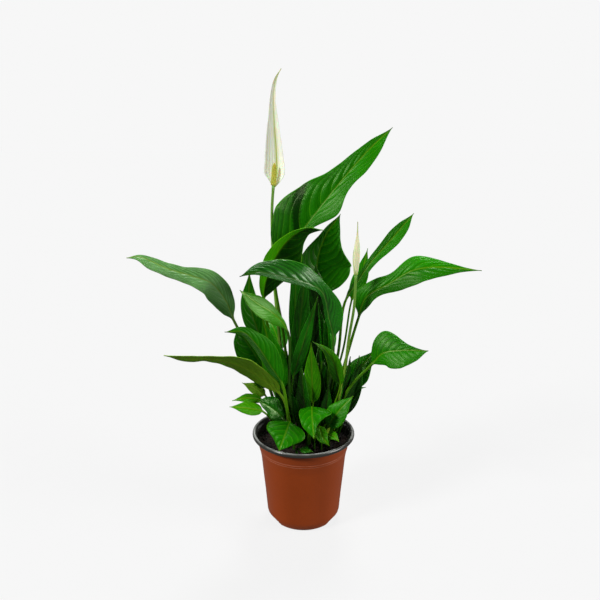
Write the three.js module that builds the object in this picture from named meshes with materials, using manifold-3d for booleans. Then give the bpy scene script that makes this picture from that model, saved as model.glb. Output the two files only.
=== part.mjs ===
// Potted peace lily: a thermoformed nursery pot, its peat, a clump of stalked leaves and two flowers.
// Millimetres, +Z up, origin under the middle of the pot, on the surface that it stands on.
import * as THREE from 'three';
import * as BufferGeometryUtils from 'three/addons/utils/BufferGeometryUtils.js';
import Module from 'manifold-3d';

const wasm = await Module();
wasm.setup();

// ---- driving dimensions -------------------------------------------------------------------------
const POT_HEIGHT = 110;
const RIM_RADIUS = 60;
const RIM_DEPTH = 4.6;
const WALL = 1.4;
const FLARE_FOOT_Z = 90;
const FLARE_FOOT_RADIUS = 51.9;
const FOOT_RADIUS = 34.5;
const FOOT_COUNT = 3;
const NOTCH_WIDTH = 28;
const NOTCH_HEIGHT = 8.6;
const CHANNEL_RISE = 9.2;
const HUB_RADIUS = 14;
const DRAIN_RADIUS = 3.2;
const DRAIN_CIRCLE_RADIUS = 27;
const ROUND_SEGMENTS = 30;

const SOIL_Z = 99;
const SOIL_MOUND = 1.5;
const CLEARANCE = 0.3;
const HOLE_DEPTH = 14;
const HOLE_CLEARANCE = 0.4;
const STUB_LENGTH = 8;

const BLADE_THICKNESS = 0.8;
const PETIOLE_STEP = 32;
const STOUT = { foot: 2, neck: 1.5, rows: 9, columns: [-1, -0.5, 0, 0.5, 1] };
const SLENDER = { foot: 1.5, neck: 1.1, rows: 7, columns: [-1, 0, 1] };

// ---- finishes -----------------------------------------------------------------------------------
const finish = (color, roughness) => new THREE.MeshStandardMaterial({ color, roughness, metalness: 0 });
const TERRACOTTA_PLASTIC = finish(0x8a3f1e, 0.5);
const PEAT = finish(0x140d0a, 0.95);
const GREEN = {
  bright: finish(0x3f8f1c, 0.42),
  mid: finish(0x2a7316, 0.4),
  dark: finish(0x134a12, 0.36),
  olive: finish(0x5f8a22, 0.5),
};
const STALK_GREEN = finish(0x7f8f2a, 0.5);
const SPATHE_CREAM = finish(0xe9eed6, 0.55);
const SPADIX_YELLOW = finish(0xb9bd58, 0.7);

// ---- leaves -------------------------------------------------------------------------------------
// foot: where the stalk enters the peat (x, y). stem: points that the stalk passes. rib: the midrib, from the
// blade's base to its tip. face: the way the upper side looks, at the base and at the tip. half: half the
// blade's width, or widths: the same at even steps along it, with right for the right half where it differs.
// fold: how far each half is raised, in degrees. wave: the swing of the edge.
const LEAVES = {
  top: {
    green: 'mid', size: STOUT, foot: [-11, 12], stem: [[-23, 27, 215]],
    rib: [[-31, 24, 307], [0, 24, 345], [38, 28, 393], [71, 35, 430], [99, 47, 455]],
    face: [[-0.25, -0.88, 0.42], [-0.3, -0.9, 0.35]], widths: [33, 42, 35, 19, 13, 7],
    right: [6, 9, 23, 16, 15, 10.5], fold: [26, 8], wave: 1.5,
  },
  fold: {
    green: 'mid', size: STOUT, foot: [-17, 7], stem: [[-34, 12, 204]],
    rib: [[-44, -12, 270], [-38, -17, 304], [-18, -20, 338], [2, -19, 351], [20, -15, 349]],
    face: [[0.57, -0.8, 0.1], [0.1, -0.7, -0.7]], widths: [12, 20, 24, 18, 10],
    right: [14, 25, 29, 22, 11], fold: 38, wave: 0.8,
  },
  front_arch: {
    green: 'mid', size: STOUT, foot: [13, -8], stem: [[29, -9, 172]],
    rib: [[33, -16, 225], [27, -28, 256], [19, -42, 288], [1, -54, 301], [-22, -62, 309], [-46, -70, 315],
      [-63, -76, 312]],
    face: [[0.1, -0.97, 0.2], [0, -0.75, 0.65]], widths: [4, 4, 4, 5, 5, 4], right: [14, 16, 9, 17, 20, 12],
    fold: 10, wave: 0.5,
  },
  right_high: {
    green: 'mid', size: STOUT, foot: [22, 6], stem: [[40, 8, 203]],
    rib: [[47, 14, 262], [61, 17, 285], [75, 20, 306], [96, 26, 329], [125, 36, 361]],
    face: [[-0.35, -0.85, 0.4], [-0.35, -0.85, 0.4]], widths: [4, 4.5, 4.5, 6.5, 8, 5.5],
    right: [4, 5, 6, 8.5, 10.5, 8], fold: 14, wave: 0.8,
  },
  right_behind: {
    green: 'bright', size: SLENDER, foot: [20, 14], stem: [[47, 26, 201]],
    rib: [[56, 28, 261], [67, 32, 291], [74, 36, 321]],
    face: [[-0.1, -0.95, 0.3], [-0.1, -0.95, 0.3]], half: 9, fold: 12, wave: 0.5,
  },
  right_long: {
    green: 'mid', size: STOUT, foot: [26, -3], stem: [[47, -8, 198]],
    rib: [[60, -12, 250], [68, -14, 275], [93, -18, 292], [114, -22, 306], [135, -26, 311], [186, -33, 309]],
    face: [[-0.3, -0.85, 0.4], [0, -0.75, 0.65]], widths: [12, 12, 9, 16, 9, 3],
    right: [8.5, 8, 14, 17, 12.5, 4.5], fold: 12, wave: 1,
  },
  back_wide: {
    green: 'dark', size: STOUT, foot: [12, 21], stem: [[16, 38, 172]],
    rib: [[22, 50, 257], [16, 53, 299], [26, 58, 332], [44, 66, 357]],
    face: [[0.3, -0.93, 0.07], [0, -0.95, 0.2]], widths: [24, 29, 19, 8, 4],
    right: [36, 44, 38, 25, 13], fold: [24, 10], wave: 1,
  },
  left_long: {
    green: 'dark', size: STOUT, foot: [-26, 4], stem: [[-44, 1, 176]],
    rib: [[-76, -16, 248], [-84, -22, 273], [-98, -28, 294], [-114, -33, 302], [-140, -40, 312],
      [-167, -48, 326], [-179, -52, 326]],
    face: [[0.3, -0.8, 0.5], [0.05, -0.6, 0.8]], widths: [12, 16, 15, 11, 9, 10],
    right: [8, 14.5, 14, 8, 8, 5], fold: 10, wave: 1.2,
  },
  left_low: {
    green: 'olive', size: STOUT, foot: [-17, -13], stem: [[-20, -24, 153]],
    rib: [[-25, -26, 165], [-48, -36, 192], [-74, -45, 210], [-101, -54, 219], [-121, -60, 221],
      [-144, -66, 227]],
    face: [[0.1, 0.75, 0.65], [0.1, 0.6, 0.8]], widths: [12, 16, 19, 17, 10, 9],
    right: [12, 15, 15, 14, 9, 10], fold: 10, wave: 0.8,
  },
  left_broad: {
    green: 'dark', size: STOUT, foot: [-21, -1], stem: [[-25, -4, 138]],
    rib: [[-31, -8, 164], [-47, -12, 195], [-62, -15, 222], [-73, -18, 244]],
    face: [[0.1, -0.95, 0.3], [0.1, -0.95, 0.3]], widths: [15, 18, 18, 18, 13],
    right: [15, 17, 16, 12, 7], fold: 8, wave: 0.8,
  },
  left_fold: {
    green: 'mid', size: STOUT, foot: [-11, -17], stem: [[-18, -30, 147]],
    rib: [[-23, -36, 181], [-36, -41, 206], [-50, -45, 231], [-63, -49, 246], [-82, -56, 249]],
    face: [[0.51, -0.77, 0.39], [0.2, -0.8, 0.5]], widths: [5, 7, 7, 6, 5, 3],
    right: [9, 15, 17, 14, 9, 5], fold: [28, 18], wave: 0.4,
  },
  left_upright: {
    green: 'dark', size: STOUT, foot: [-24, 13], stem: [[-39, 15, 177]],
    rib: [[-49, 18, 214], [-62, 20, 259], [-62, 24, 297]],
    face: [[0.2, -0.95, 0.2], [0.2, -0.95, 0.2]], half: 12.5, fold: 12, wave: 0.5,
  },
  left_glossy: {
    green: 'bright', size: STOUT, foot: [-9, -11], stem: [[-16, -25, 173]],
    rib: [[-17, -33, 241], [-30, -42, 263], [-48, -51, 278], [-65, -58, 294]],
    face: [[0.2, -0.75, 0.6], [0.2, -0.75, 0.6]], widths: [5, 10.5, 12.5, 11, 7],
    right: [3, 5.5, 9, 9.5, 5], fold: 10, wave: 0.6,
  },
  left_mid: {
    green: 'mid', size: STOUT, foot: [-15, -6], stem: [[-19, -16, 148]],
    rib: [[-23, -18, 168], [-35, -20, 211], [-45, -24, 255]],
    face: [[0.1, -0.95, 0.2], [0.1, -0.95, 0.2]], half: 14, fold: 10, wave: 0.8,
  },
  centre_far: {
    green: 'dark', size: SLENDER, foot: [-4, 18], stem: [[-6, 18, 152]],
    rib: [[-9, 17, 190], [-10, 18, 245], [-8, 20, 312]],
    face: [[0, -1, 0.1], [0, -1, 0.1]], widths: [4, 6, 7, 7, 6, 5],
    right: [6, 8, 8.5, 8, 7, 5], fold: 12, wave: 0.5,
  },
  centre_dark: {
    green: 'dark', size: SLENDER, foot: [-2, 3], stem: [[-6, 4, 146]],
    rib: [[-9, 4, 164], [-5, 6, 228], [2, 12, 300]],
    face: [[0.2, -0.95, 0.1], [0.2, -0.95, 0.1]], widths: [8, 9, 9, 7.5, 5],
    right: [12, 13, 12.5, 10, 6], fold: 12, wave: 0.5,
  },
  centre_narrow: {
    green: 'dark', size: SLENDER, foot: [-4, -5], stem: [[-14, -12, 154]],
    rib: [[-12, -14, 181], [-1, -20, 224], [15, -22, 278]],
    face: [[0.3, -0.9, 0.2], [0.3, -0.9, 0.2]], half: 8, fold: 22, wave: 0.3,
  },
  centre_back: {
    green: 'dark', size: SLENDER, foot: [4, 11], stem: [[5, 14, 161]],
    rib: [[9, 16, 180], [13, 18, 236], [14, 22, 305]],
    face: [[0, -1, 0.15], [0, -1, 0.15]], widths: [9, 12, 13, 13, 12, 8], fold: 12, wave: 0.5,
  },
  low_left: {
    green: 'dark', size: SLENDER, foot: [-9, 2], stem: [],
    rib: [[-12, 6, 124], [-16, 8, 165], [-19, 10, 205]],
    face: [[0.1, -1, 0.1], [0.1, -1, 0.1]], half: 11.5, fold: 10, wave: 0.4,
  },
  low_middle: {
    green: 'dark', size: SLENDER, foot: [5, -5], stem: [],
    rib: [[7, -3, 124], [11, -3, 160], [13, -2, 200]],
    face: [[0, -1, 0.1], [0, -1, 0.1]], half: 12, fold: 10, wave: 0.4,
  },
  low_right: {
    green: 'dark', size: SLENDER, foot: [12, 12], stem: [],
    rib: [[15, 12, 124], [21, 12, 160], [24, 13, 200]],
    face: [[0, -1, 0.1], [0, -1, 0.1]], half: 11, fold: 10, wave: 0.4,
  },
  low_rear: {
    green: 'dark', size: SLENDER, foot: [-3, 11], stem: [],
    rib: [[-6, 11, 122], [-8, 12, 156], [-10, 14, 186]],
    face: [[0, -1, 0.1], [0, -1, 0.1]], half: 10, fold: 10, wave: 0.4,
  },
  rear_left: {
    green: 'mid', size: STOUT, foot: [-13, 27], stem: [[-22, 42, 150]],
    rib: [[-28, 54, 190], [-38, 74, 214], [-50, 96, 222]],
    face: [[0.2, -0.6, 0.75], [0.2, -0.4, 0.9]], half: 15, fold: 10, wave: 0.8,
  },
  rear_middle: {
    green: 'dark', size: SLENDER, foot: [3, 28], stem: [[2, 46, 150]],
    rib: [[2, 60, 195], [0, 80, 227], [-6, 106, 235]],
    face: [[0, -0.6, 0.8], [0, -0.3, 0.95]], half: 9, fold: 12, wave: 0.4,
  },
  rear_right: {
    green: 'mid', size: SLENDER, foot: [21, 22], stem: [[26, 42, 148]],
    rib: [[28, 54, 183], [32, 74, 203], [36, 98, 203]],
    face: [[-0.1, -0.5, 0.85], [-0.1, 0, 1]], half: 11, fold: 10, wave: 0.6,
  },
  rear_low_left: {
    green: 'mid', size: SLENDER, foot: [-22, 23], stem: [],
    rib: [[-38, 44, 143], [-50, 58, 160], [-66, 76, 164]],
    face: [[0.4, -0.4, 0.85], [0.2, -0.2, 0.95]], half: 13, fold: 10, wave: 0.8,
  },
  rear_low_right: {
    green: 'dark', size: SLENDER, foot: [30, 19], stem: [],
    rib: [[42, 42, 141], [50, 58, 157], [62, 78, 158]],
    face: [[-0.4, -0.4, 0.85], [-0.2, -0.2, 0.95]], half: 13, fold: 10, wave: 0.8,
  },
  striped_left: {
    green: 'dark', size: SLENDER, foot: [11, 3], stem: [[19, 7, 165]],
    rib: [[21, 8, 190], [20, 9, 226], [16, 12, 266]],
    face: [[0.5, -0.8, 0.1], [0.5, -0.8, 0.1]], half: 8, fold: 50, wave: 0.2,
  },
  striped_right: {
    green: 'dark', size: SLENDER, foot: [18, -1], stem: [[28, 1, 172]],
    rib: [[29, 1, 194], [28, 0, 226], [25, 2, 262]],
    face: [[-0.4, -0.9, 0.1], [-0.4, -0.9, 0.1]], half: 7, fold: 50, wave: 0.2,
  },
  front_upright: {
    green: 'bright', size: SLENDER, foot: [7, -14], stem: [],
    rib: [[10, -22, 153], [9, -26, 193], [8, -22, 226]],
    face: [[0, -0.97, 0.2], [0, -0.97, 0.2]], half: 10, fold: 14, wave: 0.5,
  },
  centre_arch: {
    green: 'bright', size: SLENDER, foot: [20, -11], stem: [[37, -19, 157]],
    rib: [[41, -22, 175], [38, -26, 189], [32, -31, 207], [23, -36, 222], [9, -42, 234]],
    face: [[-0.3, -0.9, 0.3], [0.3, -0.7, 0.65]], half: 8.5, fold: 26, wave: 0.3,
  },
  right_low: {
    green: 'mid', size: STOUT, foot: [29, -17], stem: [[51, -20, 171]],
    rib: [[75, -22, 200], [86, -27, 215], [104, -34, 221], [132, -46, 225]],
    face: [[-0.3, -0.8, 0.5], [0, -0.8, 0.6]], widths: [11, 24, 18, 8, 2.5],
    right: [11, 18, 20, 17.5, 11.5], fold: 8, wave: 0.6,
  },
  right_hidden: {
    green: 'dark', size: SLENDER, foot: [33, 3], stem: [[46, 2, 140]],
    rib: [[49, 2, 160], [63, 4, 181], [82, 8, 207]],
    face: [[-0.3, -0.9, 0.3], [-0.3, -0.9, 0.3]], half: 15, fold: 12, wave: 0.5,
  },
  right_thin: {
    green: 'dark', size: SLENDER, foot: [30, 11], stem: [[39, 14, 137]],
    rib: [[50, 24, 149], [63, 36, 147], [78, 48, 144]],
    face: [[0, -0.2, 1], [0, -0.2, 1]], half: 4, fold: 10, wave: 0.2,
  },
  right_small: {
    green: 'mid', size: SLENDER, foot: [20, -18], stem: [],
    rib: [[27, -33, 130], [41, -33, 152], [55, -31, 167]],
    face: [[-0.2, -0.75, 0.6], [-0.2, -0.75, 0.6]], half: 12, fold: 10, wave: 0.8,
  },
  right_curl: {
    green: 'olive', size: SLENDER, foot: [37, 12], stem: [],
    rib: [[46, 15, 120], [53, 19, 131], [59, 23, 137]],
    face: [[-0.2, -0.6, 0.7], [-0.2, -0.6, 0.7]], half: 6, fold: 20, wave: 1,
  },
  front_heart: {
    green: 'bright', size: SLENDER, foot: [4, -21], stem: [],
    rib: [[9, -30, 153], [9, -46, 150], [11, -61, 130]],
    face: [[0, -0.3, 0.95], [0, -0.85, 0.5]], widths: [18, 22, 12, 5, 2.5],
    right: [12, 14, 13.5, 11, 6], fold: 6, wave: 0.8,
  },
  front_left: {
    green: 'bright', size: SLENDER, foot: [-11, -24], stem: [],
    rib: [[-15, -38, 139], [-20, -49, 130], [-27, -58, 114]],
    face: [[0.1, -0.35, 0.93], [-0.1, -0.9, 0.4]], widths: [17, 21, 19, 12, 6],
    right: [18, 23.5, 21, 13, 6], fold: 6, wave: 0.8,
  },
  front_curl: {
    green: 'mid', size: SLENDER, foot: [12, -25], stem: [],
    rib: [[17, -43, 136], [20, -50, 128], [28, -54, 118]],
    face: [[0, -0.4, 0.9], [-0.2, -0.8, 0.6]], half: 7, fold: 8, wave: 1.2,
  },
  front_curl_tip: {
    green: 'mid', size: SLENDER, foot: [20, -25], stem: [],
    rib: [[27, -41, 124], [33, -44, 125], [39, -46, 119]],
    face: [[0, -0.4, 0.9], [0, -0.6, 0.8]], half: 5, fold: 8, wave: 0.8,
  },
  left_pale: {
    green: 'olive', size: SLENDER, foot: [-29, -3], stem: [[-38, -7, 144]],
    rib: [[-44, -9, 158], [-55, -14, 168], [-69, -20, 178]],
    face: [[0.2, -0.75, 0.6], [0.2, -0.75, 0.6]], half: 7, fold: 10, wave: 0.5,
  },
  left_tip_upper: {
    green: 'mid', size: SLENDER, foot: [-25, -9], stem: [[-34, -18, 143]],
    rib: [[-46, -22, 157], [-62, -28, 163], [-79, -35, 163]],
    face: [[0.1, -0.6, 0.8], [0.1, -0.6, 0.8]], half: 6, fold: 10, wave: 0.5,
  },
  left_tip_lower: {
    green: 'mid', size: SLENDER, foot: [-24, -16], stem: [[-35, -33, 137]],
    rib: [[-45, -39, 152], [-61, -44, 158], [-80, -51, 163]],
    face: [[0.1, -0.65, 0.75], [0.1, -0.65, 0.75]], half: 8, fold: 10, wave: 0.5,
  },
  left_dark: {
    green: 'dark', size: SLENDER, foot: [-18, -21], stem: [],
    rib: [[-22, -29.5, 137], [-34, -33.5, 152], [-50, -37, 164]],
    face: [[0.2, -0.8, 0.5], [0.2, -0.8, 0.5]], widths: [8, 10, 9, 6, 4],
    right: [5, 9, 12, 12, 8], fold: 10, wave: 0.8,
  },
  peat: {
    green: 'dark', size: SLENDER, foot: [-8, -41], stem: [],
    rib: [[-4, -47, 110], [2, -48, 110], [10, -50, 109]],
    face: [[0, -0.3, 0.95], [0, -0.3, 0.95]], half: 5, fold: 8, wave: 0.3,
  },
};

// ---- flowers ------------------------------------------------------------------------------------
const FLOWER_STALKS = {
  tall: {
    foot: [-17, 19], radius: [2, 1.6],
    path: [[-21, 22, 138], [-28, 28, 212], [-34, 33, 283], [-36, 36, 361], [-34, 36, 392]],
  },
  short: {
    foot: [27, -10], radius: [1.9, 1.4],
    path: [[39, -12, 146], [45, -14, 178], [50, -19, 232], [54, -25, 267], [55, -27, 303]],
  },
};
const SPATHE = {
  rib: [[-33.6, 40.2, 388], [-30.5, 42.6, 403], [-30.5, 42, 427], [-32, 38, 457], [-32.5, 34, 488],
    [-29.5, 32, 505], [-24, 31, 515]],
  face: [[-0.45, -0.85, 0.1], [-0.45, -0.85, 0.1]],
  widths: [13, 11.5, 9.6, 8.4, 6.4, 4, 2.4], fold: 42, rows: 12,
};
const SPADIX = { length: 24, radius: 2.5, rows: 12, sides: 10, bump: 0.35 };
const FURLED = { length: 56, radius: 3.6, rows: 10, sides: 8, seat: 0.5 };

// ---- mesh helpers -------------------------------------------------------------------------------
const vector = (list) => new THREE.Vector3(...list);

/** A closed body from rings of equal length, each joined to the next, with a fan over both ends. */
function ringBody(rings, mirrored) {
  const count = rings[0].length;
  const positions = rings.flat().flatMap((point) => [point.x, point.y, point.z]);
  const index = [];
  for (let row = 0; row + 1 < rings.length; row += 1) {
    for (let i = 0; i < count; i += 1) {
      const j = (i + 1) % count;
      const [a, b, c, d] = [row * count + i, row * count + j, (row + 1) * count + j, (row + 1) * count + i];
      if (mirrored(i)) index.push(a, b, d, b, c, d);
      else index.push(a, b, c, a, c, d);
    }
  }
  const last = (rings.length - 1) * count;
  for (let i = 1; i + 1 < count; i += 1) {
    index.push(0, i + 1, i);
    index.push(last, last + i, last + i + 1);
  }
  const geometry = new THREE.BufferGeometry();
  geometry.setAttribute('position', new THREE.Float32BufferAttribute(positions, 3));
  geometry.setIndex(index);
  return geometry;
}

function toSolid(geometry) {
  const bare = geometry.clone();
  bare.deleteAttribute('normal');
  bare.deleteAttribute('uv');
  const merged = BufferGeometryUtils.mergeVertices(bare, 1e-4);
  return new wasm.Manifold(new wasm.Mesh({
    numProp: 3,
    vertProperties: new Float32Array(merged.attributes.position.array),
    triVerts: new Uint32Array(merged.index.array),
  }));
}

function fromSolid(solid) {
  const mesh = solid.getMesh();
  const geometry = new THREE.BufferGeometry();
  geometry.setAttribute('position', new THREE.BufferAttribute(new Float32Array(mesh.vertProperties), 3));
  geometry.setIndex(new THREE.BufferAttribute(new Uint32Array(mesh.triVerts), 1));
  return geometry;
}

const smooth = (from, to, value) => THREE.MathUtils.smoothstep(value, from, to);

/** The frame across a stalk or rib: side is to the right when looking along it with the face up. */
function frameAt(tangent, face) {
  const side = new THREE.Vector3().crossVectors(tangent, face).normalize();
  const up = new THREE.Vector3().crossVectors(side, tangent).normalize();
  return { side, up };
}

// ---- leaf ---------------------------------------------------------------------------------------
/** Half width at the place s along the blade: from its list, or round at the base and thin at the tip. */
function halfWidth(leaf, s, v) {
  if (leaf.widths) {
    const stops = [0, ...(v > 0 && leaf.right ? leaf.right : leaf.widths), 0];
    const place = Math.min(s, 0.9999) * (stops.length - 1);
    const i = Math.floor(place);
    const [before, from, to, after] = [stops[i - 1] ?? -stops[1], stops[i], stops[i + 1], stops[i + 2] ?? 0];
    const t = place - i;
    const rise = to - from;
    const bend = (t * (1 - t) * ((1 - t) * (to - before - 2 * rise) + t * (2 * rise - after + from))) / 2;
    return Math.max(from + rise * t + bend, 0.7);
  }
  const skew = Math.log(0.5) / Math.log(leaf.widest ?? 0.38);
  return Math.max(leaf.half * Math.sin(Math.PI * Math.min(s, 0.995) ** skew) ** (0.75 + 0.6 * s), 0.7);
}

/** Where the blade's middle surface lies at the place s along it and v across it, as side and up shares. */
function bladePoint(leaf, s, v) {
  const width = halfWidth(leaf, s, v);
  const [foldBase, foldTip] = [leaf.fold, leaf.fold].flat();
  const angle = THREE.MathUtils.degToRad(THREE.MathUtils.lerp(foldBase, foldTip, s));
  const phase = v < 0 ? 2 : 0;
  const swing = (leaf.wave ?? 0) * v * v * Math.sin(Math.PI * s) * Math.sin(4.4 * Math.PI * s + phase);
  const rollOff = 0.16 * width * v * v;
  return {
    side: v * width * Math.cos(angle),
    up: Math.abs(v) * width * Math.sin(angle) - rollOff + swing,
  };
}

/** One ring of the leaf: round on the stalk, flat on the blade, and blended where the two meet. */
function leafRing(leaf, centre, frame, s, radius) {
  const { columns } = leaf.size;
  const count = columns.length * 2;
  const flat = smooth(0, 0.1, s);
  const ring = [];
  for (let i = 0; i < count; i += 1) {
    const top = i < columns.length;
    const v = columns[top ? i : count - 1 - i];
    const turn = Math.PI * (1 - (i + 0.5) / columns.length);
    const round = { side: radius * Math.cos(turn), up: radius * Math.sin(turn) };
    const blade = bladePoint(leaf, Math.max(s, 0), v);
    const keel = v === 0 && !top ? 0.9 * radius * (1 - Math.max(s, 0)) : 0;
    blade.up += (top ? 0.5 : -0.5) * BLADE_THICKNESS - keel;
    const side = THREE.MathUtils.lerp(round.side, blade.side, flat);
    const up = THREE.MathUtils.lerp(round.up, blade.up, flat);
    ring.push(centre.clone().addScaledVector(frame.side, side).addScaledVector(frame.up, up));
  }
  return ring;
}

/** Stations along a leaf: shares of its whole length, with s below 0 on the stalk and 0 to 1 on the blade. */
function stations(curve, baseIndex, pointCount, rows) {
  const perSpan = 10;
  const lengths = curve.getLengths(perSpan * (pointCount - 1));
  const total = lengths[lengths.length - 1];
  const result = [];
  for (let span = 0; span < baseIndex; span += 1) {
    const from = lengths[perSpan * span];
    const to = lengths[perSpan * (span + 1)];
    const steps = Math.max(1, Math.round((to - from) / PETIOLE_STEP));
    for (let i = 0; i < steps; i += 1) {
      result.push({ share: (from + (to - from) * (i / steps)) / total, s: -1 });
    }
  }
  const base = lengths[perSpan * baseIndex] / total;
  for (let row = 0; row <= rows; row += 1) {
    result.push({ share: base + (1 - base) * (row / rows), s: row / rows });
  }
  return { result, base };
}

function stalkStart(foot) {
  return [
    [...foot, SOIL_Z - HOLE_DEPTH + 2],
    [...foot, SOIL_Z],
    [...foot, SOIL_Z + STUB_LENGTH],
  ];
}

function leafGeometry(leaf) {
  const points = [...stalkStart(leaf.foot), ...leaf.stem, ...leaf.rib].map(vector);
  const baseIndex = points.length - leaf.rib.length;
  const curve = new THREE.CatmullRomCurve3(points, false, 'centripetal');
  const { result, base } = stations(curve, baseIndex, points.length, leaf.size.rows);
  const [faceBase, faceTip] = leaf.face.map(vector);
  const rings = result.map(({ share, s }) => {
    const face = faceBase.clone().lerp(faceTip, smooth(0, 1, s));
    const frame = frameAt(curve.getTangentAt(share), face);
    const radius = THREE.MathUtils.lerp(leaf.size.foot, leaf.size.neck, Math.min(share / base, 1));
    return leafRing(leaf, curve.getPointAt(share), frame, s, radius);
  });
  const columns = leaf.size.columns.length;
  return ringBody(rings, (i) => i >= columns);
}

// ---- flower -------------------------------------------------------------------------------------
/** A round body along a curve, whose radius is a function of the share of its length and of the turn. */
function roundBody(curve, rows, sides, radiusAt) {
  const rings = [];
  const face = new THREE.Vector3(0, -1, 0);
  for (let row = 0; row <= rows; row += 1) {
    const share = row / rows;
    const { side, up } = frameAt(curve.getTangentAt(share), face);
    const centre = curve.getPointAt(share);
    rings.push(Array.from({ length: sides }, (_, i) => {
      const turn = -2 * Math.PI * (i / sides);
      const radius = radiusAt(share, turn, row, i);
      return centre.clone()
        .addScaledVector(side, radius * Math.cos(turn))
        .addScaledVector(up, radius * Math.sin(turn));
    }));
  }
  return ringBody(rings, () => false);
}

function stalkGeometry({ foot, radius, path }) {
  const curve = new THREE.CatmullRomCurve3([...stalkStart(foot), ...path].map(vector), false, 'centripetal');
  const rows = Math.ceil(curve.getLength() / PETIOLE_STEP) * 2;
  return roundBody(curve, rows, 6, (share) => THREE.MathUtils.lerp(radius[0], radius[1], share));
}

function spadixGeometry(stalk) {
  const [below, top] = stalk.path.slice(-2).map(vector);
  const axis = top.clone().sub(below).normalize();
  const start = top.clone().addScaledVector(axis, CLEARANCE);
  const curve = new THREE.LineCurve3(start, start.clone().addScaledVector(axis, SPADIX.length));
  return roundBody(curve, SPADIX.rows, SPADIX.sides, (share, turn, row, i) => {
    const taper = Math.sqrt(Math.max(1 - share ** 3, 0.04));
    const body = SPADIX.radius * (0.6 + 0.4 * Math.min(5 * share, 1)) * taper;
    const raised = (row + i) % 2 === 0 ? SPADIX.bump : -SPADIX.bump;
    return body + (share > 0 && share < 1 ? raised : 0);
  });
}

function spatheGeometry() {
  const curve = new THREE.CatmullRomCurve3(SPATHE.rib.map(vector), false, 'centripetal');
  const [faceBase, faceTip] = SPATHE.face.map(vector);
  const leaf = { ...SPATHE, wave: 0.3, size: STOUT };
  const rings = [];
  for (let row = 0; row <= SPATHE.rows; row += 1) {
    const s = row / SPATHE.rows;
    const frame = frameAt(curve.getTangentAt(s), faceBase.clone().lerp(faceTip, s));
    rings.push(leafRing(leaf, curve.getPointAt(s), frame, Math.max(s, 0.02), STOUT.neck));
  }
  return ringBody(rings, (i) => i >= STOUT.columns.length);
}

function furledGeometry(stalk) {
  const [below, top] = stalk.path.slice(-2).map(vector);
  const axis = top.clone().sub(below).normalize().lerp(new THREE.Vector3(0, 0, 1), 0.8).normalize();
  const start = top.clone().addScaledVector(axis, FURLED.seat);
  const curve = new THREE.LineCurve3(start, start.clone().addScaledVector(axis, FURLED.length));
  return roundBody(curve, FURLED.rows, FURLED.sides, (share, turn) => {
    const body = FURLED.radius * (0.42 + 0.58 * Math.sin(Math.PI * Math.min(share * 1.15 + 0.08, 1)));
    const lap = 1 + 0.12 * Math.cos(turn - 5 * share);
    return Math.max(body * lap * (1 - 0.75 * smooth(0.45, 1, share)), 0.45);
  });
}

// ---- pot ----------------------------------------------------------------------------------------
/** The pot's outer radius at a height, on the tapered wall under the flare and on the flare. */
function wallRadius(z) {
  const stops = [[11, 43.5], [36, 45.6], [56, 47.6], [80, 49.8], [FLARE_FOOT_Z - 2, 51.2],
    [FLARE_FOOT_Z, FLARE_FOOT_RADIUS], [POT_HEIGHT - RIM_DEPTH, 55.4]];
  const above = Math.max(1, stops.findIndex(([height]) => height >= z));
  const [[z0, r0], [z1, r1]] = [stops[above - 1], stops[above]];
  return THREE.MathUtils.lerp(r0, r1, (z - z0) / (z1 - z0));
}

const WALL_HEIGHTS = [14, 36, 56, 80, FLARE_FOOT_Z - 2, FLARE_FOOT_Z, POT_HEIGHT - RIM_DEPTH];

function lathe(profile) {
  const points = profile.map(([radius, z]) => new THREE.Vector2(radius, z));
  return new THREE.LatheGeometry(points, ROUND_SEGMENTS).rotateX(Math.PI / 2);
}

function potShell() {
  const outer = [11, ...WALL_HEIGHTS].map((z) => [wallRadius(z), z]);
  const inner = [...WALL_HEIGHTS].reverse().map((z) => [wallRadius(z) - WALL, z]);
  const floor = CHANNEL_RISE + WALL;
  return lathe([
    [0, 0], [HUB_RADIUS, 0], [HUB_RADIUS + 2, CHANNEL_RISE], [FOOT_RADIUS - 5, CHANNEL_RISE],
    [FOOT_RADIUS - 4, 0], [FOOT_RADIUS, 0], [FOOT_RADIUS + 4, 1.6], [FOOT_RADIUS + 7.2, 5.4],
    ...outer,
    [RIM_RADIUS - 1, POT_HEIGHT - RIM_DEPTH], [RIM_RADIUS, POT_HEIGHT - RIM_DEPTH + 1.4],
    [RIM_RADIUS - 0.1, POT_HEIGHT - 1.2], [RIM_RADIUS - 1.4, POT_HEIGHT], [RIM_RADIUS - 3.6, POT_HEIGHT],
    ...inner,
    [FOOT_RADIUS + 5.6, floor + 2.2], [FOOT_RADIUS + 2, floor], [0, floor],
  ]);
}

function potGeometry() {
  let pot = toSolid(potShell());
  for (let i = 0; i < FOOT_COUNT; i += 1) {
    const turn = Math.PI / 2 + (i * 2 * Math.PI) / FOOT_COUNT;
    const notch = new THREE.CylinderGeometry(NOTCH_WIDTH / 2, NOTCH_WIDTH / 2, 20, 8)
      .scale(1, 1, (2 * NOTCH_HEIGHT) / NOTCH_WIDTH)
      .rotateZ(Math.PI / 2)
      .translate(FOOT_RADIUS + 2, 0, 0)
      .rotateZ(turn);
    const drain = new THREE.CylinderGeometry(DRAIN_RADIUS, DRAIN_RADIUS, 20, 8)
      .rotateX(Math.PI / 2)
      .translate(DRAIN_CIRCLE_RADIUS * Math.cos(turn), DRAIN_CIRCLE_RADIUS * Math.sin(turn), 5);
    pot = pot.subtract(toSolid(notch));
    pot = pot.subtract(toSolid(drain));
  }
  return fromSolid(pot);
}

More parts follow.
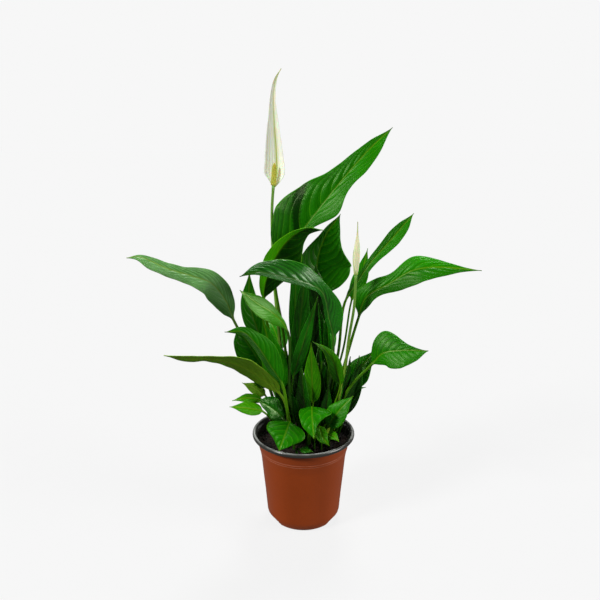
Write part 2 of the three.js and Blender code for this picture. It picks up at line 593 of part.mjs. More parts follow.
// ---- peat ---------------------------------------------------------------------------------------
function soilGeometry(feet) {
  const floor = CHANNEL_RISE + WALL + CLEARANCE;
  const wallAt = (z) => wallRadius(z) - WALL - CLEARANCE;
  const edge = SOIL_Z - SOIL_MOUND;
  const body = lathe([
    [0, floor], [FOOT_RADIUS + 1.6, floor], [FOOT_RADIUS + 5, floor + 2.2], [wallAt(14), 14 + CLEARANCE],
    ...[36, 56, 80, FLARE_FOOT_Z - 2, FLARE_FOOT_Z].map((z) => [wallAt(z), z]),
    [wallAt(edge), edge], [40, SOIL_Z - 0.4], [0, SOIL_Z],
  ]);
  let soil = toSolid(body);
  for (const { foot, radius } of feet) {
    const hole = new THREE.CylinderGeometry(radius, radius, 2 * HOLE_DEPTH, 6)
      .rotateX(Math.PI / 2)
      .translate(foot[0], foot[1], SOIL_Z);
    soil = soil.subtract(toSolid(hole));
  }
  return fromSolid(soil);
}

// ---- assembly -----------------------------------------------------------------------------------
const plant = new THREE.Group();

function add(name, geometry, material) {
  const mesh = new THREE.Mesh(geometry, material);
  mesh.name = name;
  plant.add(mesh);
}

const holeRadius = (stalkRadius) => (stalkRadius + HOLE_CLEARANCE) / Math.cos(Math.PI / 6);
const feet = [
  ...Object.values(LEAVES).map(({ foot, size }) => ({ foot, radius: holeRadius(size.foot) })),
  ...Object.values(FLOWER_STALKS).map(({ foot, radius }) => ({ foot, radius: holeRadius(radius[0]) })),
];

add('pot', potGeometry(), TERRACOTTA_PLASTIC);
add('soil', soilGeometry(feet), PEAT);
for (const [name, leaf] of Object.entries(LEAVES)) add(`leaf_${name}`, leafGeometry(leaf), GREEN[leaf.green]);
for (const [name, stalk] of Object.entries(FLOWER_STALKS)) {
  add(`stalk_${name}`, stalkGeometry(stalk), STALK_GREEN);
}
add('spathe_open', spatheGeometry(), SPATHE_CREAM);
add('spadix', spadixGeometry(FLOWER_STALKS.tall), SPADIX_YELLOW);
add('spathe_furled', furledGeometry(FLOWER_STALKS.short), SPATHE_CREAM);

export default plant;
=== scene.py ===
"""The looks of a potted peace lily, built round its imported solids: pot, peat, leaves and two flowers.

Sizes in the tables are millimetres; meshes are made in metres, +Z up, with the pot's foot at the origin.
"""

import logging
import math
from dataclasses import dataclass
from enum import Enum
from typing import Any, Sequence

import bpy
import numpy as np
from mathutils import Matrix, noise


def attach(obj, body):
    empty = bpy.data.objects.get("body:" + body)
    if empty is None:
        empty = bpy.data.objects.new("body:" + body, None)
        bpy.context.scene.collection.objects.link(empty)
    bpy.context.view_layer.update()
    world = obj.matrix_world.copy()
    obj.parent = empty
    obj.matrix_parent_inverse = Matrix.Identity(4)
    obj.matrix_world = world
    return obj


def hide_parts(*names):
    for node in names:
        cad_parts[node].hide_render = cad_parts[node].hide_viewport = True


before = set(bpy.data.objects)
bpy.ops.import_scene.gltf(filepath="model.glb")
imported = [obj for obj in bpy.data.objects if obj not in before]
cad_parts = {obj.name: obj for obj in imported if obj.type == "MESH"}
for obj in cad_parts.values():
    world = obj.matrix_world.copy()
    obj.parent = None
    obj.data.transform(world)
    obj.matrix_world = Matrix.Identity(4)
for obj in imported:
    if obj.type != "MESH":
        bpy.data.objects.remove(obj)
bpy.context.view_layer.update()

log = logging.getLogger("peace_lily")
logging.basicConfig(level=logging.INFO, format="%(message)s")

MM = 0.001
BODY = "root"
SOIL_Z = 99.0
HOLE_DEPTH = 14.0
HOLE_CLEARANCE = 2.0
STUB_LENGTH = 8.0
THINNEST = 0.35
FRONT = np.array((0.0, -1.0, 0.0))
WHITE = (1.0, 1.0, 1.0, 1.0)

Colour = tuple[float, float, float, float]
Point = tuple[float, float, float]


# ---- small helpers ------------------------------------------------------------------------------
def linear(code: str) -> Colour:
    """Scene-linear colour of an sRGB hex code.

    Args:
        code: six hex digits, red, green and blue.

    Returns:
        Red, green, blue and alpha for a colour socket.
    """
    channels = [int(code[i:i + 2], 16) / 255 for i in (0, 2, 4)]
    bent = [c / 12.92 if c <= 0.04045 else ((c + 0.055) / 1.055) ** 2.4 for c in channels]
    return bent[0], bent[1], bent[2], 1.0


def smooth(low: Any, high: Any, value: Any) -> Any:
    """Rises smoothly from 0 to 1 as value goes from low to high; works on numbers and arrays."""
    t = np.clip((value - low) / (high - low), 0.0, 1.0)
    return t * t * (3 - 2 * t)


def unit(vectors: np.ndarray) -> np.ndarray:
    """The vectors at length one."""
    return vectors / np.linalg.norm(vectors, axis=-1, keepdims=True)


def around(count: int) -> np.ndarray:
    """Angles of a ring's points as one row, in the sense that makes the ring's faces look outwards."""
    return np.linspace(0, -math.tau, count, endpoint=False)[None, :]


def both_sides(spread: np.ndarray) -> tuple[np.ndarray, np.ndarray]:
    """Lays the places across a sheet out as one ring, over its upper side and back under it.

    Args:
        spread: places across the sheet, from -1 to 1.

    Returns:
        The place of each point of the ring, and 1 where it is on the upper side, each as one row.
    """
    over = np.concatenate([np.ones(len(spread)), np.zeros(len(spread))])
    return np.concatenate([spread, spread[::-1]])[None, :], over[None, :]


def tapered(widths: Sequence[float], s: np.ndarray) -> np.ndarray:
    """Half widths along a blade that runs to a point at both ends.

    Args:
        widths: half widths at even steps between base and tip, in millimetres.
        s: shares along the blade.

    Returns:
        The half width at each share, smooth through the given ones.
    """
    stops = np.array([-widths[0], 0.0, *widths, 0.0, 0.0])
    place = np.clip(s, 0, 0.9999) * (len(stops) - 3)
    i = place.astype(int)
    t = place - i
    before, a, b, after = (stops[i + k] for k in range(4))
    rise = (1 - t) * (b - before - 2 * (b - a)) + t * (2 * (b - a) - after + a)
    return np.maximum(a + (b - a) * t + t * (1 - t) * rise / 2, THINNEST)


class Curve:
    """A smooth line through points, measured along its own length."""

    def __init__(self, points: Sequence[Point], per_span: int = 40) -> None:
        """Samples the line.

        Args:
            points: the points that it passes, in order, in millimetres.
            per_span: samples between two of them.
        """
        p = np.array(points, float)
        p = np.vstack([2 * p[0] - p[1], p, 2 * p[-1] - p[-2]])
        samples = []
        for i in range(1, len(p) - 2):
            d0, d1, d2 = (np.linalg.norm(p[i + k] - p[i + k - 1]) ** 0.5 for k in range(3))
            a, b = p[i], p[i + 1]
            leave = (a - p[i - 1]) / d0 - (b - p[i - 1]) / (d0 + d1) + (b - a) / d1
            arrive = (b - a) / d1 - (p[i + 2] - a) / (d1 + d2) + (p[i + 2] - b) / d2
            leave, arrive = leave * d1, arrive * d1
            t = np.linspace(0, 1, per_span, endpoint=False)[:, None]
            bend = (-3 * a + 3 * b - 2 * leave - arrive) * t ** 2 + (2 * a - 2 * b + leave + arrive) * t ** 3
            samples.append(a + leave * t + bend)
        self.samples = np.vstack([*samples, p[-2:-1]])
        steps = np.linalg.norm(np.diff(self.samples, axis=0), axis=1)
        self.lengths = np.concatenate([[0.0], np.cumsum(steps)])
        self.length = float(self.lengths[-1])
        self.per_span = per_span

    @classmethod
    def rooted(cls, foot: tuple[float, float], path: Sequence[Point]) -> "Curve":
        """The line of a stalk: out of its hole in the peat, straight up a little, then along its path.

        Args:
            foot: where it leaves the peat.
            path: the points that it passes after that.

        Returns:
            The line, whose first three points are the stalk's straight foot.
        """
        heights = (SOIL_Z - HOLE_DEPTH + HOLE_CLEARANCE, SOIL_Z, SOIL_Z + STUB_LENGTH)
        return cls([*((*foot, z) for z in heights), *path])

    def share_at(self, index: int) -> float:
        """The share of the whole length at which the line meets its point of that number."""
        return float(self.lengths[index * self.per_span] / self.length)

    def at(self, shares: np.ndarray) -> np.ndarray:
        """Points at shares of the length."""
        where = np.clip(shares, 0, 1) * self.length
        return np.stack([np.interp(where, self.lengths, self.samples[:, k]) for k in range(3)], axis=1)

    def tangents(self, shares: np.ndarray) -> np.ndarray:
        """Unit directions at shares of the length."""
        return unit(self.at(shares + 0.004) - self.at(shares - 0.004))

    def rings(self, shares: np.ndarray, face: np.ndarray, across: np.ndarray, rise: np.ndarray) -> np.ndarray:
        """Sets an outline square on the line at each share.

        Args:
            shares: where the outlines stand, as shares of the length.
            face: the way that they look, one for all or one for each.
            across: how far each of their points lies to the side, in millimetres.
            rise: how far it lies towards the way that they look.

        Returns:
            Points in millimetres, as rings by points by 3.
        """
        along = self.tangents(shares)
        side = unit(np.cross(along, face))
        up = unit(np.cross(side, along))
        flat = self.at(shares)[:, None, :] + across[..., None] * side[:, None, :]
        return flat + rise[..., None] * up[:, None, :]


def ring_mesh(name: str, rings: np.ndarray, values: dict[str, np.ndarray]) -> bpy.types.Mesh:
    """A closed body whose rings of points are joined one to the next, with a cap on both ends.

    Args:
        name: the mesh's name.
        rings: points in millimetres, as rings by points by 3.
        values: point attributes, each rings by points.

    Returns:
        A mesh in metres with smooth faces.
    """
    rows, count = rings.shape[:2]
    i = np.arange(count)
    j = (i + 1) % count
    base = (np.arange(rows - 1) * count)[:, None]
    quads = np.stack([base + i, base + j, base + count + j, base + count + i], axis=-1).reshape(-1, 4)
    last = (rows - 1) * count
    faces = [*quads.tolist(), list(range(count - 1, -1, -1)), list(range(last, last + count))]
    mesh = bpy.data.meshes.new(name)
    mesh.from_pydata((rings.reshape(-1, 3) * MM).tolist(), [], faces)
    for key, value in values.items():
        attribute = mesh.attributes.new(key, "FLOAT", "POINT")
        attribute.data.foreach_set("value", value.reshape(-1).astype(np.float32))
    mesh.shade_smooth()
    return mesh


def turned_mesh(name: str, points: Sequence[Point], count: int) -> bpy.types.Mesh:
    """A closed body of rings of points, drawn together at both ends to a point on its axis.

    Args:
        name: the mesh's name.
        points: the rings' points in metres, then the first and the last ring's point on the axis.
        count: points in each ring.

    Returns:
        A mesh with smooth faces: round the first end, ring by ring, and round the last end.
    """
    first_end, last_end = len(points) - 2, len(points) - 1
    top = first_end - count
    faces = [(first_end, (i + 1) % count, i) for i in range(count)]
    for a in range(0, top, count):
        b = a + count
        faces += [(a + i, a + (i + 1) % count, b + (i + 1) % count, b + i) for i in range(count)]
    faces += [(last_end, top + i, top + (i + 1) % count) for i in range(count)]
    mesh = bpy.data.meshes.new(name)
    mesh.from_pydata(points, [], faces)
    mesh.shade_smooth()
    return mesh


def seat(name: str, mesh: bpy.types.Mesh, nodes: Sequence[str], slot: str,
         *materials: bpy.types.Material) -> bpy.types.Object:
    """Puts a finished mesh into the scene as a piece that stands for solids.

    Args:
        name: the piece's name.
        mesh: its mesh, in place, in metres.
        nodes: the solids that it stands for.
        slot: the piece's material slot; not used.
        materials: finishes for the mesh, if it doesn't carry them yet.

    Returns:
        The piece.
    """
    for material in materials:
        mesh.materials.append(material)
    piece = bpy.data.objects.new(name, mesh)
    bpy.context.scene.collection.objects.link(piece)
    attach(piece, BODY)
    if nodes:
        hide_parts(*nodes)
    log.info("%s: %d faces", name, len(mesh.polygons))
    return piece


# ---- shader graphs ------------------------------------------------------------------------------
class Graph:
    """Adds and links the nodes of one tree."""

    def __init__(self, tree: bpy.types.NodeTree) -> None:
        """Keeps the tree."""
        self.tree = tree

    def feed(self, node: bpy.types.Node, inputs: dict[Any, Any]) -> None:
        """Sets or links some of a node's inputs.

        Args:
            node: the node.
            inputs: socket name or number to a value or to another node's output.
        """
        for key, value in inputs.items():
            if isinstance(value, bpy.types.NodeSocket):
                self.tree.links.new(value, node.inputs[key])
            else:
                node.inputs[key].default_value = value

    def add(self, kind: str, inputs: dict[Any, Any] | None = None, **settings: Any) -> bpy.types.Node:
        """Adds a node.

        Args:
            kind: the node's type name.
            inputs: socket name or number to a value or to another node's output.
            settings: the node's own properties.

        Returns:
            The node.
        """
        node = self.tree.nodes.new(kind)
        for key, value in settings.items():
            setattr(node, key, value)
        self.feed(node, inputs or {})
        return node

    def math(self, operation: str, a: Any, b: Any = 0.0, c: Any = 0.0,
             clamp: bool = False) -> bpy.types.NodeSocket:
        """One arithmetic step on up to three values."""
        return self.add("ShaderNodeMath", {0: a, 1: b, 2: c}, operation=operation, use_clamp=clamp).outputs[0]

    def plus(self, a: Any, b: Any, clamp: bool = False) -> bpy.types.NodeSocket:
        """The sum of two values."""
        return self.math("ADD", a, b, clamp=clamp)

    def times(self, a: Any, b: Any, clamp: bool = False) -> bpy.types.NodeSocket:
        """The product of two values."""
        return self.math("MULTIPLY", a, b, clamp=clamp)

    def vector(self, x: Any, y: Any, z: Any) -> bpy.types.NodeSocket:
        """A vector of three values."""
        return self.add("ShaderNodeCombineXYZ", {0: x, 1: y, 2: z}).outputs[0]

    def ramp(self, value: Any, low: float, high: float, to_low: Any = 0.0,
             to_high: Any = 1.0) -> bpy.types.NodeSocket:
        """A smooth step of value from low to high, between two results."""
        inputs = {"Value": value, "From Min": low, "From Max": high, "To Min": to_low, "To Max": to_high}
        return self.add("ShaderNodeMapRange", inputs, interpolation_type="SMOOTHSTEP").outputs[0]

    def mix(self, factor: Any, a: Any, b: Any) -> bpy.types.NodeSocket:
        """A blend of two colours."""
        return self.add("ShaderNodeMix", {0: factor, 6: a, 7: b}, data_type="RGBA").outputs[2]

    def value(self, name: str) -> bpy.types.NodeSocket:
        """A number that the mesh carries at its points."""
        return self.add("ShaderNodeAttribute", attribute_name=name).outputs["Fac"]

    def place(self) -> bpy.types.NodeSocket:
        """The place on the object, in its own coordinates."""
        return self.add("ShaderNodeTexCoord").outputs["Object"]

    def noise(self, vector: Any, scale: Any, detail: float = 3.0) -> bpy.types.NodeSocket:
        """A soft random value around one half."""
        return self.add("ShaderNodeTexNoise", {"Vector": vector, "Scale": scale, "Detail": detail}).outputs[0]


class ShaderParts:
    """The effects that several finishes share, each a node group built once."""

    def __init__(self) -> None:
        """Builds the groups."""
        self.mottle = self._mottle()
        self.veins = self._veins()
        self.scuffs = self._scuffs()

    def mottled(self, graph: Graph, place: bpy.types.NodeSocket, scale: float,
                amount: float = 1.0) -> bpy.types.NodeSocket:
        """Adds uneven colour to a material.

        Args:
            graph: the material's graph.
            place: the place on the object.
            scale: how fine the broad noise is, in turns for each metre.
            amount: how strong it is.

        Returns:
            A value around zero.
        """
        inputs = {"Place": place, "Scale": scale, "Amount": amount}
        return graph.add("ShaderNodeGroup", inputs, node_tree=self.mottle).outputs[0]

    @staticmethod
    def _group(name: str, inputs: dict[str, float | None], outputs: Sequence[str]) -> tuple[Graph, Any, Any]:
        """Starts a group.

        Args:
            name: its name.
            inputs: socket names to default numbers, or None for a vector.
            outputs: names of the numbers that it puts out.

        Returns:
            The graph, its input node's outputs and its output node.
        """
        tree = bpy.data.node_groups.new(name, "ShaderNodeTree")
        for key, default in inputs.items():
            kind = "NodeSocketVector" if default is None else "NodeSocketFloat"
            socket = tree.interface.new_socket(name=key, in_out="INPUT", socket_type=kind)
            if default is not None:
                socket.default_value = default
        for key in outputs:
            tree.interface.new_socket(name=key, in_out="OUTPUT", socket_type="NodeSocketFloat")
        graph = Graph(tree)
        return graph, graph.add("NodeGroupInput").outputs, graph.add("NodeGroupOutput")

    def _mottle(self) -> bpy.types.NodeTree:
        """Uneven colour: a broad and a fine noise together, around zero.

        Returns:
            The group.
        """
        graph, given, result = self._group("mottle", {"Place": None, "Scale": 60.0, "Amount": 1.0}, ["Value"])
        broad = graph.noise(given["Place"], given["Scale"], 2.0)
        fine = graph.noise(given["Place"], graph.times(given["Scale"], 6.5), 5.0)
        centred = graph.math("SUBTRACT", graph.plus(graph.times(broad, 0.7), graph.times(fine, 0.3)), 0.5)
        graph.feed(result, {"Value": graph.times(centred, given["Amount"])})
        return graph.tree

    def _veins(self) -> bpy.types.NodeTree:
        """Leaf veins from the vein number, the distance from the midrib and the share across the half, and a
        pleat output of painted light and shade that alternate over the flanks between the veins.

        Returns:
            The group.
        """
        graph, given, result = self._group(
            "leaf_veins", {"Vein": 0.0, "Offset": 0.0, "Across": 0.0},
            ["Main", "Fine", "Midrib", "Margin", "PleatShade", "Relief"])
        vein, offset = given["Vein"], given["Offset"]

        def lines(count: float, width: float) -> bpy.types.NodeSocket:
            """Thin lines across the vein number.

            Args:
                count: lines for each vein.
                width: half a line's width, as a share of the step between lines.

            Returns:
                A mask, 1 on the middle of a line.
            """
            step = graph.math("FRACT", graph.math("MULTIPLY_ADD", vein, count, 0.5))
            return graph.ramp(graph.math("ABSOLUTE", graph.math("SUBTRACT", step, 0.5)), 0.0, width, 1.0, 0.0)

        off_midrib = graph.ramp(offset, 0.8, 2.5)
        main = graph.times(lines(1.0, 0.11), off_midrib)
        fine = graph.times(lines(5.0, 0.3), off_midrib)
        # painted light and shade: one flank of each vein lit, the other dark
        flank_shade = graph.math("SINE", graph.times(vein, math.tau))
        graph.feed(result, {
            "Main": main, "Fine": fine,
            "Midrib": graph.ramp(offset, 0.5, 1.25, 1.0, 0.0),
            "Margin": graph.ramp(given["Across"], 0.95, 1.0),
            "PleatShade": graph.times(flank_shade, off_midrib),
            "Relief": graph.plus(graph.times(main, -0.6), graph.times(fine, -0.25))})
        return graph.tree

    def _scuffs(self) -> bpy.types.NodeTree:
        """Rub marks: short streaks that run round the pot, drawn from a stretched noise.

        Returns:
            The group.
        """
        graph, given, result = self._group("scuffs", {"Place": None, "Amount": 1.0}, ["Mask"])
        parts = graph.add("ShaderNodeSeparateXYZ", {0: given["Place"]}).outputs
        turn = graph.math("ARCTAN2", parts[1], parts[0])
        wander = graph.noise(given["Place"], 60.0)
        flat = graph.vector(graph.times(turn, 9.0), graph.times(parts[2], 1300.0), wander)
        streak = graph.noise(flat, 0.35, 4.0)
        where = graph.noise(given["Place"], 34.0, 2.0)
        mask = graph.times(graph.ramp(streak, 0.6, 0.74), graph.ramp(where, 0.5, 0.66))
        graph.feed(result, {"Mask": graph.times(mask, given["Amount"])})
        return graph.tree


def new_material(name: str) -> tuple[bpy.types.Material, Graph, bpy.types.Node]:
    """An empty node material.

    Args:
        name: the material's name.

    Returns:
        The material, its graph and its Principled shader.
    """
    material = bpy.data.materials.new(name)
    material.use_nodes = True
    graph = Graph(material.node_tree)
    return material, graph, material.node_tree.nodes["Principled BSDF"]


def bump(graph: Graph, shader: bpy.types.Node, height: Any, distance: float) -> None:
    """Feeds the shader's normal from a height.

    Args:
        graph: the material's graph.
        shader: its Principled shader.
        height: the height value's output.
        distance: metres that a height of one stands for.
    """
    node = graph.add("ShaderNodeBump", {"Height": height, "Distance": distance, "Strength": 1.0})
    graph.feed(shader, {"Normal": node.outputs[0]})


class Tone(Enum):
    """The kinds of leaf by colour."""

    BRIGHT = "bright"
    MID = "mid"
    GLOSSY = "glossy"
    SHINY = "shiny"
    DARK = "dark"
    GREY = "grey"
    OLIVE = "olive"
    PALE = "pale"


@dataclass(frozen=True)
class LeafFinish:
    """A living leaf: colours in light and in shade, veins, and how waxy it is.

    lit and deep are the blade in light and in shade, vein the veins and the margin, under the lower side,
    stalk the stalk and midrib. gleam tints the gloss, and the depths are metres.
    """

    lit: str
    deep: str
    vein: str
    under: str
    stalk: str
    specular: float = 0.2
    roughness: float = 0.32
    vein_strength: float = 0.45
    gleam: Colour = (0.7, 1.0, 0.45, 1.0)
    slot: str = "leaf_mid"
    painted_pleat_shade: float = 0.09
    mottle_scale: float = 38.0
    mottling: float = 0.7
    pore_scale: float = 900.0
    pore_height: float = 0.06
    relief_depth: float = 0.0002

    def material(self, name: str, parts: ShaderParts) -> bpy.types.Material:
        """Builds the node material.

        Args:
            name: its name.
            parts: the shared groups.

        Returns:
            The material.
        """
        material, graph, shader = new_material(name)
        place = graph.place()
        shade, under = graph.value("shade"), graph.value("under")
        carried = {key: graph.value(key.lower()) for key in ("Vein", "Offset", "Across")}
        veins = graph.add("ShaderNodeGroup", carried, node_tree=parts.veins).outputs
        mottle = parts.mottled(graph, place, self.mottle_scale)
        # painted light and shade: the mesh's shade value and the pleats blend the deep colour into the lit
        # one; the mottle is uneven colour
        uneven = graph.plus(shade, graph.times(mottle, self.mottling))
        uneven = graph.plus(uneven, graph.times(veins["PleatShade"], self.painted_pleat_shade), clamp=True)
        blade = graph.mix(uneven, linear(self.deep), linear(self.lit))
        strength = graph.times(graph.math("MULTIPLY_ADD", shade, 0.8, 0.2), self.vein_strength)
        lines = graph.plus(veins["Main"], graph.times(veins["Fine"], 0.25))
        blade = graph.mix(graph.times(lines, strength, clamp=True), blade, linear(self.vein))
        blade = graph.mix(graph.times(veins["Margin"], 0.5), blade, linear(self.vein))
        blade = graph.mix(graph.times(under, 0.85), blade, linear(self.under))
        # the stalk and midrib colour takes the same painted shade
        stalk = graph.mix(shade, linear(self.deep), linear(self.stalk))
        blade = graph.mix(graph.times(veins["Midrib"], 0.9), blade, stalk)
        rough = graph.plus(self.roughness, graph.times(under, 0.18))
        pores = graph.times(graph.noise(place, self.pore_scale, 2.0), self.pore_height)
        bump(graph, shader, graph.plus(veins["Relief"], pores), self.relief_depth)
        graph.feed(shader, {
            "Base Color": blade, "Roughness": graph.plus(rough, graph.times(mottle, 0.2)),
            "Specular IOR Level": self.specular, "Specular Tint": self.gleam,
            "Subsurface Weight": 0.1, "Subsurface Scale": 0.003, "Subsurface Radius": (0.35, 1.0, 0.05)})
        return material


LEAF_FINISHES: dict[Tone, LeafFinish] = {
    Tone.BRIGHT: LeafFinish("42a400", "083c00", "7cc814", "438a0c", "6ea812", slot="leaf_bright"),
    Tone.MID: LeafFinish("208a00", "032e00", "5cb010", "2f780a", "62a012"),
    Tone.GLOSSY: LeafFinish("1a8c06", "022600", "62bc34", "2a7414", "58982a", specular=0.6, roughness=0.24,
                            gleam=(0.85, 1.0, 0.75, 1.0), slot="leaf_dark"),
    Tone.SHINY: LeafFinish("3a9c04", "083c00", "7cc828", "438a0c", "6ea812", specular=0.8, roughness=0.22,
                           vein_strength=0.3, slot="leaf_bright"),
    Tone.DARK: LeafFinish("147800", "011a00", "3c9410", "1c5c0c", "468812", specular=0.5, roughness=0.26,
                          slot="leaf_dark"),
    Tone.GREY: LeafFinish("5e9e4c", "163e0c", "92c468", "6a9a52", "78a03a", specular=0.4, roughness=0.4,
                          gleam=(0.9, 1.0, 0.85, 1.0), slot="leaf_dark"),
    Tone.OLIVE: LeafFinish("86b428", "30640a", "a8cc48", "7cae22", "8cb024", roughness=0.5,
                           slot="leaf_olive"),
    Tone.PALE: LeafFinish("82bc1c", "388610", "bcdc50", "82bc1c", "94b82a", roughness=0.45,
                          slot="leaf_olive"),
}


@dataclass(frozen=True)
class PeatFinish:
    """Moist peat, matt, with browner fibres; dryness from 0 to 1 lightens it."""

    dryness: float
    wet: str = "120b08"
    dry: str = "3c2a1e"
    mottle_scale: float = 120.0
    grain_scale: float = 1400.0
    grain_depth: float = 0.0008

    def material(self, name: str, parts: ShaderParts) -> bpy.types.Material:
        """Builds the node material.

        Args:
            name: its name.
            parts: the shared groups.

        Returns:
            The material.
        """
        material, graph, shader = new_material(name)
        place = graph.place()
        mottle = parts.mottled(graph, place, self.mottle_scale, 2.0)
        blend = graph.plus(mottle, self.dryness, clamp=True)
        bump(graph, shader, graph.noise(place, self.grain_scale, 4.0), self.grain_depth)
        graph.feed(shader, {"Base Color": graph.mix(blend, linear(self.wet), linear(self.dry)),
                            "Roughness": graph.ramp(mottle, -0.5, 0.5, 0.7, 1.0), "Specular IOR Level": 0.3})
        return material


@dataclass(frozen=True)
class PlasticFinish:
    """Thin moulded plastic with rub marks, pale scored lines, a painted highlight and a thin film of dust."""

    colour: str
    worn: str
    pale: str
    roughness: float
    specular: float
    scuffs: float
    dust: float = 0.0
    shading: float = 0.78
    mottle_scale: float = 22.0
    patch_scale: float = 55.0
    grain_scale: float = 700.0
    grain_depth: float = 0.00006

    def material(self, name: str, parts: ShaderParts) -> bpy.types.Material:
        """Builds the node material.

        Args:
            name: its name.
            parts: the shared groups.

        Returns:
            The material.
        """
        material, graph, shader = new_material(name)
        place = graph.place()
        mottle = parts.mottled(graph, place, self.mottle_scale)
        marks = graph.add("ShaderNodeGroup", {"Place": place, "Amount": self.scuffs},
                          node_tree=parts.scuffs).outputs[0]
        full = linear(self.colour)
        dark = tuple(self.shading * c for c in full[:3]) + (1.0,)
        body = graph.mix(graph.plus(mottle, 0.6, clamp=True), dark, full)
        body = graph.mix(marks, body, linear(self.worn))
        # the mesh's pale marks: scored lines, and a painted highlight on the rim's crown, made patchy
        patchy = graph.ramp(graph.noise(place, self.patch_scale, 4.0), 0.3, 0.6, 0.35, 1.0)
        scoring_and_highlight = graph.times(graph.value("scoring_and_highlight"), patchy, clamp=True)
        rough = graph.plus(graph.times(mottle, 0.3), self.roughness)
        bump(graph, shader, graph.noise(place, self.grain_scale, 3.0), self.grain_depth)
        graph.feed(shader, {
            "Base Color": graph.mix(scoring_and_highlight, body, linear(self.pale)),
            "Roughness": graph.plus(rough, graph.times(marks, 0.25)), "Specular IOR Level": self.specular,
            "Sheen Weight": self.dust, "Sheen Roughness": 0.35, "Sheen Tint": linear(self.pale)})
        return material


TERRACOTTA = PlasticFinish("9c400c", "6a2a09", "d8a088", roughness=0.44, specular=0.3, scuffs=0.7, dust=0.5)
# its pale colour is the painted highlight on the crown of the rim
BLACK_LINING = PlasticFinish("34342f", "64645a", "c0c2be", roughness=0.24, specular=0.6, scuffs=0.5)


@dataclass(frozen=True)
class PetalFinish:
    """A thin pale petal-like sheet with a green middle line and fine ribs along it.

    glow stands for the light that comes through the sheet from behind.
    """

    pale: str
    rib: str
    green: str
    glow: float = 0.15
    ribs: float = 9.0
    mottle_scale: float = 70.0
    rib_depth: float = 0.0002

    def material(self, name: str, parts: ShaderParts) -> bpy.types.Material:
        """Builds the node material.

        Args:
            name: its name.
            parts: the shared groups.

        Returns:
            The material.
        """
        material, graph, shader = new_material(name)
        mottle = parts.mottled(graph, graph.place(), self.mottle_scale)
        wave = graph.math("SINE", graph.times(graph.value("across"), self.ribs * math.tau))
        lines = graph.ramp(wave, 0.2, 1.0)
        body = graph.mix(graph.times(lines, 0.55), linear(self.pale), linear(self.rib))
        greening = graph.plus(graph.value("shade"), graph.times(mottle, 0.35), clamp=True)
        body = graph.mix(greening, body, linear(self.green))
        bump(graph, shader, lines, self.rib_depth)
        graph.feed(shader, {
            "Base Color": body, "Roughness": graph.ramp(mottle, -0.4, 0.4, 0.42, 0.6),
            "Specular IOR Level": 0.25, "Subsurface Weight": 0.3, "Subsurface Scale": 0.006,
            "Emission Color": body, "Emission Strength": self.glow})
        return material


SPATHE_CREAM = PetalFinish("f6f8ea", "d4deb4", "98b040", glow=0.2)
SPATHE_BUDDING = PetalFinish("f0f2cc", "dde2a4", "98b040")
SPADIX_YELLOW = PetalFinish("d2c852", "b8ae40", "96a83a", glow=0.06)


@dataclass(frozen=True)
class StalkFinish:
    """A round green stalk with faint lengthwise lines."""

    top: str = "72a83c"
    foot: str = "7a9c18"
    lines: int = 12
    mottle_scale: float = 50.0
    line_depth: float = 0.00008

    def material(self, name: str, parts: ShaderParts) -> bpy.types.Material:
        """Builds the node material.

        Args:
            name: its name.
            parts: the shared groups.

        Returns:
            The material.
        """
        material, graph, shader = new_material(name)
        mottle = parts.mottled(graph, graph.place(), self.mottle_scale)
        height = graph.plus(graph.value("along"), graph.times(mottle, 0.5), clamp=True)
        lines = graph.math("SINE", graph.times(graph.value("across"), self.lines * math.tau))
        bump(graph, shader, lines, self.line_depth)
        graph.feed(shader, {
            "Base Color": graph.mix(height, linear(self.foot), linear(self.top)),
            "Roughness": graph.ramp(lines, -1.0, 1.0, 0.4, 0.5),
            "Subsurface Weight": 0.1, "Subsurface Scale": 0.003})
        return material


# ---- leaves -------------------------------------------------------------------------------------
@dataclass(frozen=True)
class Build:
    """How stout a leaf is: stalk radii in millimetres and how finely its blade is meshed."""

    foot: float
    neck: float
    columns: int
    row_length: float


STOUT = Build(2.0, 1.5, 29, 1.7)
SLENDER = Build(1.5, 1.1, 17, 2.0)


